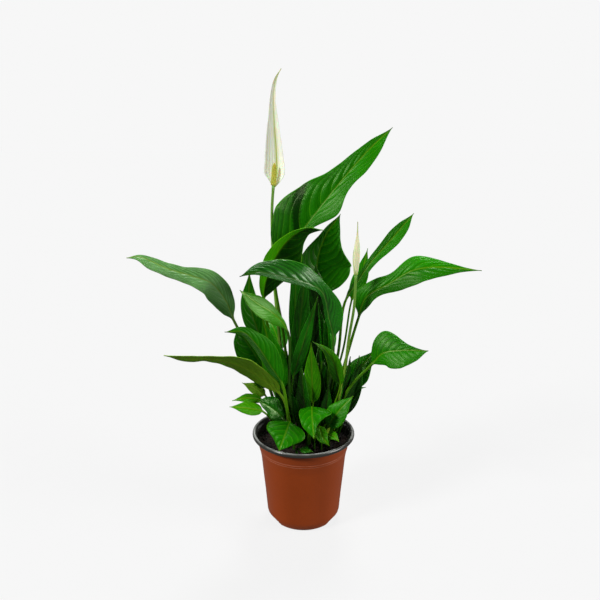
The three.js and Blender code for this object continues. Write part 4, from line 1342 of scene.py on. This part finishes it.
@dataclass(frozen=True)
class YoungLeaves:
    """Short, dark, half-open leaves that crowd the middle of the clump, between the grown ones.

    middle and spread say where they stand, lean how far the outermost lean out, in radians, turn how far
    each is turned either way, and sizes how small and how large they are against shape.
    """

    count: int = 30
    middle: tuple[float, float] = (12.0, 6.0)
    spread: tuple[float, float] = (30.0, 15.0)
    lean: float = 0.3
    turn: float = 0.9
    sizes: tuple[float, float] = (0.75, 1.5)
    seed: int = 11
    # the shape's lightness numbers paint it into shade, darkest at its base
    shape: Leaf = Leaf("young", Tone.DARK, (0, 0), ((0, -1, 114),), ((0, -2, 122), (0, -1, 148), (0, 3, 176)),
                       face=((0.1, -1.0, 0.0), (0.0, -1.0, 0.2)), widths=(5.5, 7.5, 6.5, 3.5),
                       fold=(34.0, 26.0), painted_shade_halves=(0.15, 0.35), ends=(0.4, 1.0), veins=5, stalk=0.3)

    def make(self, material: bpy.types.Material) -> bpy.types.Object:
        """Builds the young leaves from one shape, set by a Geometry Nodes tree, and dresses them.

        Args:
            material: their finish.

        Returns:
            The piece.
        """
        inputs = {"Count": ("Int", self.count), "Seed": ("Int", self.seed), "Lean": ("Float", self.lean)}
        tree = GeometryTree("young_leaves", inputs, material)
        graph, given = tree.graph, tree.given

        def chance(low: float, high: float, offset: int) -> bpy.types.NodeSocket:
            """A random number for each leaf."""
            return tree.random("FLOAT", low, high, graph.plus(given["Seed"], float(offset)))

        bearing, reach = chance(0.0, math.tau, 1), graph.math("POWER", chance(0.0, 1.0, 2), 0.5)
        east = graph.times(reach, graph.math("COSINE", bearing))
        north = graph.times(reach, graph.math("SINE", bearing))
        place = graph.vector(graph.plus(graph.times(east, self.spread[0] * MM), self.middle[0] * MM),
                             graph.plus(graph.times(north, self.spread[1] * MM), self.middle[1] * MM),
                             SOIL_Z * MM)
        tilt = graph.vector(graph.times(graph.times(north, -1.0), given["Lean"]),
                            graph.times(east, given["Lean"]), chance(-self.turn, self.turn, 3))
        points = graph.add("GeometryNodePoints", {"Count": given["Count"], "Position": place})
        lowered = graph.add("GeometryNodeTransform", {0: given[0], "Translation": (0.0, 0.0, -SOIL_Z * MM)})
        tree.close(tree.copies(points, lowered, Rotation=tilt, Scale=chance(*self.sizes, 4)))
        return seat("young_leaves", tree.apply("young_leaves", self.shape.mesh()), [], "leaf_dark")


@dataclass(frozen=True)
class FlowerSpike:
    """The bumpy spike: small florets set round a core by the golden angle."""

    start: Point
    direction: Point
    length: float = 24.0
    radius: float = 2.6
    florets: int = 210
    floret_radius: float = 0.52
    golden_turn: float = 0.381966

    def _tree(self, material: bpy.types.Material) -> GeometryTree:
        """The tree that sets the florets on the core, upright at the origin.

        Args:
            material: the finish of core and florets.

        Returns:
            The tree.
        """
        sizes = {"Florets": ("Int", self.florets), "Length": ("Float", self.length * MM),
                 "Radius": ("Float", self.radius * MM), "Floret Radius": ("Float", self.floret_radius * MM)}
        tree = GeometryTree("spadix_florets", sizes, material)
        graph, given = tree.graph, tree.given
        points = graph.add("GeometryNodePoints", {"Count": given["Florets"]})
        index = graph.add("GeometryNodeInputIndex").outputs[0]
        share = graph.math("DIVIDE", graph.plus(index, 0.5), given["Florets"])
        turn = graph.times(index, math.tau * self.golden_turn)
        taper = graph.math("POWER", graph.math("SUBTRACT", 1.0, graph.math("POWER", share, 4.0)), 0.5)
        reach = graph.times(taper, given["Radius"])
        place = graph.vector(graph.times(reach, graph.math("COSINE", turn)),
                             graph.times(reach, graph.math("SINE", turn)),
                             graph.times(share, given["Length"]))
        placed = graph.add("GeometryNodeSetPosition", {0: points.outputs[0], "Position": place})
        floret = graph.add("GeometryNodeMeshIcoSphere", {"Radius": given["Floret Radius"], "Subdivisions": 2})
        both = graph.add("GeometryNodeJoinGeometry", {0: tree.copies(placed, floret).outputs[0]})
        graph.feed(both, {0: given[0]})
        tree.close(both)
        return tree

    def make(self, material: bpy.types.Material) -> bpy.types.Object:
        """Builds the spike and dresses it.

        Args:
            material: its finish.

        Returns:
            The piece.
        """
        share, turn = np.linspace(0, 1, 24)[:, None], around(20)
        reach = self.radius * np.sqrt(np.maximum(1 - share ** 4, 0.02)) * np.where(share < 0.02, 0.6, 1.0)
        core = np.stack([reach * np.sin(turn), reach * np.cos(turn), share * self.length + 0 * turn], axis=-1)
        mesh = self._tree(material).apply("flower_spike", ring_mesh("spike_core", core, {}))
        axis = unit(np.array(self.direction))
        side = unit(np.cross(axis, FRONT))
        points = np.empty(len(mesh.vertices) * 3)
        mesh.vertices.foreach_get("co", points)
        tilted = points.reshape(-1, 3) @ np.stack([side, np.cross(axis, side), axis])
        points = tilted + np.array(self.start) * MM
        mesh.vertices.foreach_set("co", points.reshape(-1))
        mesh.update()
        return seat("flower_spike", mesh, ["spadix"], "spadix")


TALL_STALK = FlowerStalk(
    "tall", (-17, 19), radii=(2.0, 1.6),
    path=((-21, 22, 138), (-28, 28, 212), (-34, 33, 283), (-36, 36, 361), (-34, 36, 392)))
SHORT_STALK = FlowerStalk(
    "short", (27, -10), radii=(1.9, 1.4),
    path=((39, -12, 146), (45, -14, 178), (50, -19, 232), (54, -25, 267), (55, -27, 303)))
SPATHE = OpenFlower(
    rib=((-33.6, 40.2, 388), (-30.5, 42.6, 403), (-30.5, 42, 427), (-32, 38, 457), (-32.5, 34, 488),
         (-29.5, 32, 505), (-24, 31, 515)),
    face=(-0.4, -0.9, 0.1), widths=(14, 13.4, 11.6, 9.2, 6.2, 4, 2.4), fold=28.0)
SPIKE = FlowerSpike(start=(-34, 36, 392.3), direction=(0.06, 0.0, 1.0))
BUD = FurledFlower(start=(55, -27, 303.4), end=(55.4, -27.2, 359.4))


# ---- pot and peat -------------------------------------------------------------------------------
@dataclass(frozen=True)
class Pot:
    """The nursery pot: tapered wall, flared band, rolled rim, three feet and the arches between them.

    wall_stops gives the outer wall's radius at heights, score_lines the heights of its two scored lines.
    """

    wall: float = 1.4
    foot_radius: float = 34.5
    feet: int = 3
    notch_width: float = 28.0
    notch_height: float = 8.6
    hub_radius: float = 14.0
    channel_rise: float = 9.2
    wall_stops: tuple[tuple[float, float], ...] = (
        (43.5, 11), (45.6, 36), (47.6, 56), (49.8, 80), (51.2, 88), (51.9, 90), (55.4, 105.4))
    rim: tuple[tuple[float, float], ...] = (
        (56.2, 105.3), (58.2, 105.35), (59.3, 105.7), (59.85, 106.5), (60.0, 107.4), (59.9, 108.5),
        (59.5, 109.4), (58.8, 109.9), (57.9, 110.0), (56.9, 109.75), (56.1, 109.2), (55.5, 108.3),
        (55.0, 107.2))
    score_lines: tuple[float, float] = (89.1, 91.9)
    score_depth: float = 0.3
    segments: int = 360
    sharp_angle: float = 42.0

    def outer(self) -> list[tuple[float, float]]:
        """The wall's outer profile, up to just under the rim.

        Returns:
            Points as radius and height, close together at the scored lines.
        """
        band = [87.4, 88.0, 88.4, 88.8, 89.1, 89.4, 89.8, 90.4, 91.2, 91.6, 91.9, 92.2, 92.6, 93.4]
        heights = np.concatenate([np.linspace(11, 86, 26), band, np.linspace(95, 105.4, 8)])
        radii = np.interp(heights, [z for _, z in self.wall_stops], [radius for radius, _ in self.wall_stops])
        for line in self.score_lines:
            radii = radii - self.score_depth * np.exp(-((heights - line) / 0.3) ** 2)
        return list(zip(radii.tolist(), heights.tolist()))

    def _profile(self) -> tuple[list[tuple[float, float]], int, int]:
        """The whole outline from the hub's middle outside, over the rim, to the middle of the floor inside.

        Returns:
            Points as radius and height, the number of them on the underside, and the number of the first
            one of the dark lip and lining.
        """
        rise, foot, hub = self.channel_rise, self.foot_radius, self.hub_radius
        inside = rise + self.wall
        under = [(0.0, 0.0), (hub - 1, 0.0), (hub, 0.2), (hub + 1.4, rise - 0.4), (hub + 2, rise),
                 (foot - 6, rise), (foot - 5, rise - 0.4), (foot - 4.3, 0.4), (foot - 3.6, 0.0),
                 (foot - 1, 0.0), (foot + 1, 0.15), (foot + 2.6, 0.6), (foot + 4.2, 1.6), (foot + 5.9, 3.2),
                 (foot + 7.2, 5.4), (foot + 8.0, 7.6), (foot + 8.6, 9.4)]
        outer = self.outer()
        inner = [(radius - self.wall, z) for radius, z in reversed(outer) if z > inside + 3]
        floor = [(foot + 6.9, inside + 2.9), (foot + 5.6, inside + 2.2), (foot + 2, inside), (0.0, inside)]
        return [*under, *outer, *self.rim, *inner, *floor], len(under), len(under) + len(outer) - 1

    def _lifted(self, radius: float, z: float, gap: float) -> float:
        """The underside's height where a channel may run out between two feet.

        Args:
            radius: the place's distance from the axis.
            z: the height there without a channel.
            gap: the angle between the place and the middle of the nearest channel.

        Returns:
            The height, raised inside the channel.
        """
        across = 2 * radius * math.sin(min(gap, 1.5)) / self.notch_width
        return max(z, self.notch_height * (1 - across ** 4) ** 0.6) if across < 1 else z

    def mesh(self) -> bpy.types.Mesh:
        """Turns the outline, lifts the channels between the feet and colours the lip and lining.

        Returns:
            The closed mesh, with 1 as the material number of the lip and lining.
        """
        profile, underside, lip = self._profile()
        turn = np.linspace(0, math.tau, self.segments, endpoint=False)
        half = math.pi / self.feet
        notch = np.abs((turn - math.pi / 2 + half) % (2 * half) - half)
        points: list[Point] = []
        for number, (radius, z) in enumerate(profile[1:-1], start=1):
            channelled = number < underside and radius > self.hub_radius + 1
            for angle, gap in zip(turn, notch):
                height = self._lifted(radius, z, gap) if channelled else z
                points.append((radius * math.cos(angle) * MM, radius * math.sin(angle) * MM, height * MM))
        points += [(0.0, 0.0, profile[0][1] * MM), (0.0, 0.0, profile[-1][1] * MM)]
        mesh = turned_mesh("pot_shell", points, self.segments)
        bands = range(len(profile) - 1)
        mesh.polygons.foreach_set("material_index", [int(band >= lip) for band in bands for _ in turn])
        # pale marks: scored lines, and a painted highlight on the crown of the rim
        scoring_and_highlight = mesh.attributes.new("scoring_and_highlight", "FLOAT", "POINT")
        scoring_and_highlight.data.foreach_set("value", self._scoring_and_highlight(np.array(points) / MM))
        mesh.set_sharp_from_angle(angle=math.radians(self.sharp_angle))
        return mesh

    def _scoring_and_highlight(self, points: np.ndarray) -> np.ndarray:
        """How pale the plastic is: pale along the scored lines, and a painted highlight on the crown of the
        rim.

        Args:
            points: places in millimetres.

        Returns:
            The paleness at each.
        """
        radius, z = np.hypot(points[:, 0], points[:, 1]), points[:, 2]
        scored = sum(np.exp(-((z - line) / 0.45) ** 2) for line in self.score_lines)
        # painted highlight: a pale band along the crown of the rim
        crown = 0.9 * smooth(108.8, 109.7, z) * np.exp(-((radius - 57.9) / 1.1) ** 2)
        return np.maximum(0.3 * scored * (radius > 50.5), crown).astype(np.float32)

    def make(self, outside: bpy.types.Material, inside: bpy.types.Material) -> bpy.types.Object:
        """Builds the pot and dresses it in its two layers."""
        return seat("nursery_pot", self.mesh(), ["pot"], "pot", outside, inside)


@dataclass(frozen=True)
class Crumbs:
    """One kind of loose bit on the peat: how many for each square centimetre, how large and how long."""

    name: str
    density: float
    size: float
    stretch: Point
    seed: int
    brown: bool = False


@dataclass(frozen=True)
class Peat:
    """The peat: an uneven domed body, with crumbs and fibres strewn over it."""

    radius: float = 53.0
    floor: float = 10.9
    mound: float = 1.5
    sunk: float = 0.6
    lumps: float = 1.3
    grains: float = 0.9
    rings: int = 64
    segments: int = 168
    side: tuple[tuple[float, float], ...] = ((45.8, 56), (49.6, 88), (52.2, 95.0))
    bits: tuple[Crumbs, ...] = (
        Crumbs("peat_crumbs", 14.0, 0.95, (1.0, 1.0, 0.8), 4),
        Crumbs("peat_lumps", 2.2, 1.9, (1.0, 1.0, 0.7), 9),
        Crumbs("peat_fibres", 2.4, 0.5, (5.0, 0.5, 0.5), 17, brown=True))

    def height(self, x: float, y: float) -> float:
        """The surface's height.

        Args:
            x: the place along X in millimetres.
            y: the place along Y.

        Returns:
            The height in millimetres.
        """
        share = min(math.hypot(x, y) / self.radius, 1.0)
        coarse = noise.noise((x * 0.07, y * 0.07, 3.1)) * self.lumps
        fine = noise.fractal((x * 0.33, y * 0.33, 8.4), 0.9, 2.1, 4) * self.grains
        return SOIL_Z - self.mound * share ** 2 - self.sunk + (coarse + fine) * (1 - 0.5 * share ** 6)

    def mesh(self) -> bpy.types.Mesh:
        """The body: rough on top, plain at the sides and below, where the pot covers it.

        Returns:
            The closed mesh.
        """
        turn = np.linspace(0, math.tau, self.segments, endpoint=False)
        below = [(36.0, self.floor), (39.4, self.floor + 2.2), (41.9, self.floor + 3.6), *self.side]
        points: list[Point] = []
        for radius, z in below:
            points += [(radius * math.cos(a) * MM, radius * math.sin(a) * MM, z * MM) for a in turn]
        for k in range(self.rings):
            radius = self.radius * (1 - k / self.rings)
            for a in turn:
                x, y = radius * math.cos(a), radius * math.sin(a)
                points.append((x * MM, y * MM, self.height(x, y) * MM))
        points += [(0.0, 0.0, self.floor * MM), (0.0, 0.0, self.height(0, 0) * MM)]
        return turned_mesh("peat_body", points, self.segments)

    def _surface(self) -> bpy.types.Mesh:
        """The open top surface alone, on which the crumbs are strewn.

        Returns:
            The mesh.
        """
        steps = 30
        grid = np.linspace(-self.radius + 2, self.radius - 2, steps)
        points = [(x * MM, y * MM, self.height(x, y) * MM) for x in grid for y in grid]
        faces = []
        for i in range(steps - 1):
            for j in range(steps - 1):
                if math.hypot(grid[i] + 1.7, grid[j] + 1.7) < self.radius - 3:
                    a, b = i * steps + j, (i + 1) * steps + j
                    faces.append((a, b, b + 1, a + 1))
        mesh = bpy.data.meshes.new("peat_top")
        mesh.from_pydata(points, [], faces)
        return mesh

    def _strewn(self, bits: Crumbs, material: bpy.types.Material) -> bpy.types.Mesh:
        """Strews one kind of bit over the surface by a Geometry Nodes tree.

        Args:
            bits: the kind.
            material: its finish.

        Returns:
            The bits as one mesh.
        """
        sizes = {"Density": ("Float", bits.density * 1e4), "Size": ("Float", bits.size * MM),
                 "Seed": ("Int", bits.seed)}
        tree = GeometryTree(bits.name, sizes, material)
        graph, given = tree.graph, tree.given
        strewn = graph.add("GeometryNodeDistributePointsOnFaces",
                           {0: given[0], "Density": given["Density"], "Seed": given["Seed"]})
        lump = graph.add("GeometryNodeMeshIcoSphere", {"Radius": given["Size"], "Subdivisions": 2})
        rough = graph.add("ShaderNodeTexNoise", {"Scale": 900.0, "Detail": 1.0}).outputs["Color"]
        push = graph.add("ShaderNodeVectorMath", {0: rough, 1: (0.5, 0.5, 0.5)}, operation="SUBTRACT")
        push = graph.add("ShaderNodeVectorMath", {0: push.outputs[0], "Scale": 1.6 * bits.size * MM},
                         operation="SCALE")
        lump = graph.add("GeometryNodeSetPosition", {0: lump.outputs[0], "Offset": push.outputs[0]})
        shape = graph.add("GeometryNodeTransform", {0: lump.outputs[0], "Scale": bits.stretch})
        turn = tree.random("FLOAT_VECTOR", (0.0,) * 3, (math.tau,) * 3, given["Seed"])
        scale = tree.random("FLOAT_VECTOR", (0.35,) * 3, (1.25,) * 3, given["Seed"])
        tree.close(tree.copies(strewn, shape, Rotation=turn, Scale=scale))
        return tree.apply(bits.name, self._surface())

    def make(self, parts: ShaderParts) -> None:
        """Builds the body and what lies on it.

        Args:
            parts: the shared groups.
        """
        seat("peat_body", self.mesh(), ["soil"], "peat", PeatFinish(0.18).material("peat", parts))
        dark = PeatFinish(0.3).material("peat_crumb", parts)
        brown = PeatFinish(0.75).material("peat_fibre", parts)
        for bits in self.bits:
            seat(bits.name, self._strewn(bits, brown if bits.brown else dark), [], "peat")


# ---- studio -------------------------------------------------------------------------------------
@dataclass(frozen=True)
class SoftLight:
    """A broad, far light, soft as a big diffuser, that shines evenly on the whole set.

    towards points from the plant to the light, and spread is its width in degrees.
    """

    name: str
    towards: Point
    strength: float
    spread: float

    def make(self) -> None:
        """Adds the light."""
        data = bpy.data.lights.new(self.name, "SUN")
        data.energy = self.strength
        data.angle = math.radians(self.spread)
        light = bpy.data.objects.new(self.name, data)
        bpy.context.scene.collection.objects.link(light)
        x, y, z = unit(np.array(self.towards))
        light.rotation_euler = (math.acos(z), 0.0, math.atan2(y, x) + math.pi / 2)


@dataclass(frozen=True)
class Studio:
    """The photograph's view: camera, pale floor that runs into a pale surround, and soft lights."""

    camera_place: Point = (-0.0041, -0.648, 0.437)
    pitch: float = 14.56
    lens: float = 36.0
    backdrop: float = 0.93
    ambient: float = 0.05
    floor_reach: float = 40.0
    floor_albedo: float = 0.07
    floor_bounce: float = 0.09
    lights: tuple[SoftLight, ...] = (
        SoftLight("key_left", (-0.8, -0.5, 0.7), 2.8, 14.0),
        SoftLight("top", (0.1, 0.5, 0.9), 1.9, 16.0),
        SoftLight("side_right", (1.0, -0.3, 0.4), 2.3, 30.0))

    def make(self) -> None:
        """Adds camera, floor, surround and lights."""
        scene = bpy.context.scene
        data = bpy.data.cameras.new("view")
        data.lens, data.sensor_width = self.lens, 36.0
        camera = bpy.data.objects.new("view", data)
        scene.collection.objects.link(camera)
        camera.location = self.camera_place
        camera.rotation_euler = (math.radians(90 - self.pitch), 0.0, 0.0)
        scene.camera = camera
        scene.view_settings.view_transform = "Standard"
        self._surround()
        self._floor()
        for light in self.lights:
            light.make()

    @staticmethod
    def _seen(graph: Graph, lighting: float, seen: float) -> bpy.types.NodeSocket:
        """Adds a strength that is one number as a light and another as the camera sees it.

        Args:
            graph: the graph of the surround or the floor.
            lighting: the strength as a light.
            seen: the strength as the camera sees it.

        Returns:
            The strength's output.
        """
        camera_ray = graph.add("ShaderNodeLightPath").outputs["Is Camera Ray"]
        inputs = {"Value": camera_ray, "To Min": lighting, "To Max": seen}
        return graph.add("ShaderNodeMapRange", inputs).outputs[0]

    def _surround(self) -> None:
        """Adds the surround: bright where it is seen, dim as a light."""
        world = bpy.data.worlds.new("surround")
        world.use_nodes = True
        graph = Graph(world.node_tree)
        strength = self._seen(graph, self.ambient, self.backdrop)
        graph.feed(world.node_tree.nodes["Background"], {"Color": WHITE, "Strength": strength})
        bpy.context.scene.world = world

    def _floor(self) -> None:
        """Adds a wide pale floor whose own glow keeps the shadows on it faint."""
        mesh = bpy.data.meshes.new("floor")
        far = self.floor_reach
        mesh.from_pydata([(-far, -far, 0.0), (far, -far, 0.0), (far, far, 0.0), (-far, far, 0.0)], [],
                         [(0, 1, 2, 3)])
        material, graph, shader = new_material("floor")
        albedo = self.floor_albedo
        grain = graph.ramp(graph.noise(graph.place(), 30.0), 0.3, 0.7, albedo * 0.98, albedo)
        sun = sum(light.strength * unit(np.array(light.towards))[2] for light in self.lights)
        lit = self.ambient + sun / math.pi
        graph.feed(shader, {
            "Base Color": graph.add("ShaderNodeCombineColor", {0: grain, 1: grain, 2: grain}).outputs[0],
            "Roughness": 1.0, "Specular IOR Level": 0.0, "Emission Color": WHITE,
            "Emission Strength": self._seen(graph, self.floor_bounce, self.backdrop - albedo * lit)})
        mesh.materials.append(material)
        floor = bpy.data.objects.new("floor", mesh)
        bpy.context.scene.collection.objects.link(floor)


def write_sizes() -> None:
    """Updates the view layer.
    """
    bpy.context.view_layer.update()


def main() -> None:
    """Builds the studio and every piece in order."""
    Studio().make()
    parts = ShaderParts()
    leaf_materials = {
        tone: finish.material(f"leaf_{tone.value}", parts) for tone, finish in LEAF_FINISHES.items()}
    terracotta = TERRACOTTA.material("terracotta_plastic", parts)
    Pot().make(terracotta, BLACK_LINING.material("black_plastic", parts))
    Peat().make(parts)
    for leaf in LEAVES:
        leaf.make(leaf_materials)
    YoungLeaves().make(leaf_materials[Tone.DARK])
    stalk = StalkFinish().material("flower_stalk", parts)
    for one in (TALL_STALK, SHORT_STALK):
        one.make(stalk)
    SPATHE.make(SPATHE_CREAM.material("spathe_cream", parts))
    SPIKE.make(SPADIX_YELLOW.material("spadix_yellow", parts))
    BUD.make(SPATHE_BUDDING.material("spathe_budding", parts))
    write_sizes()


if __name__ == "__main__":
    main()
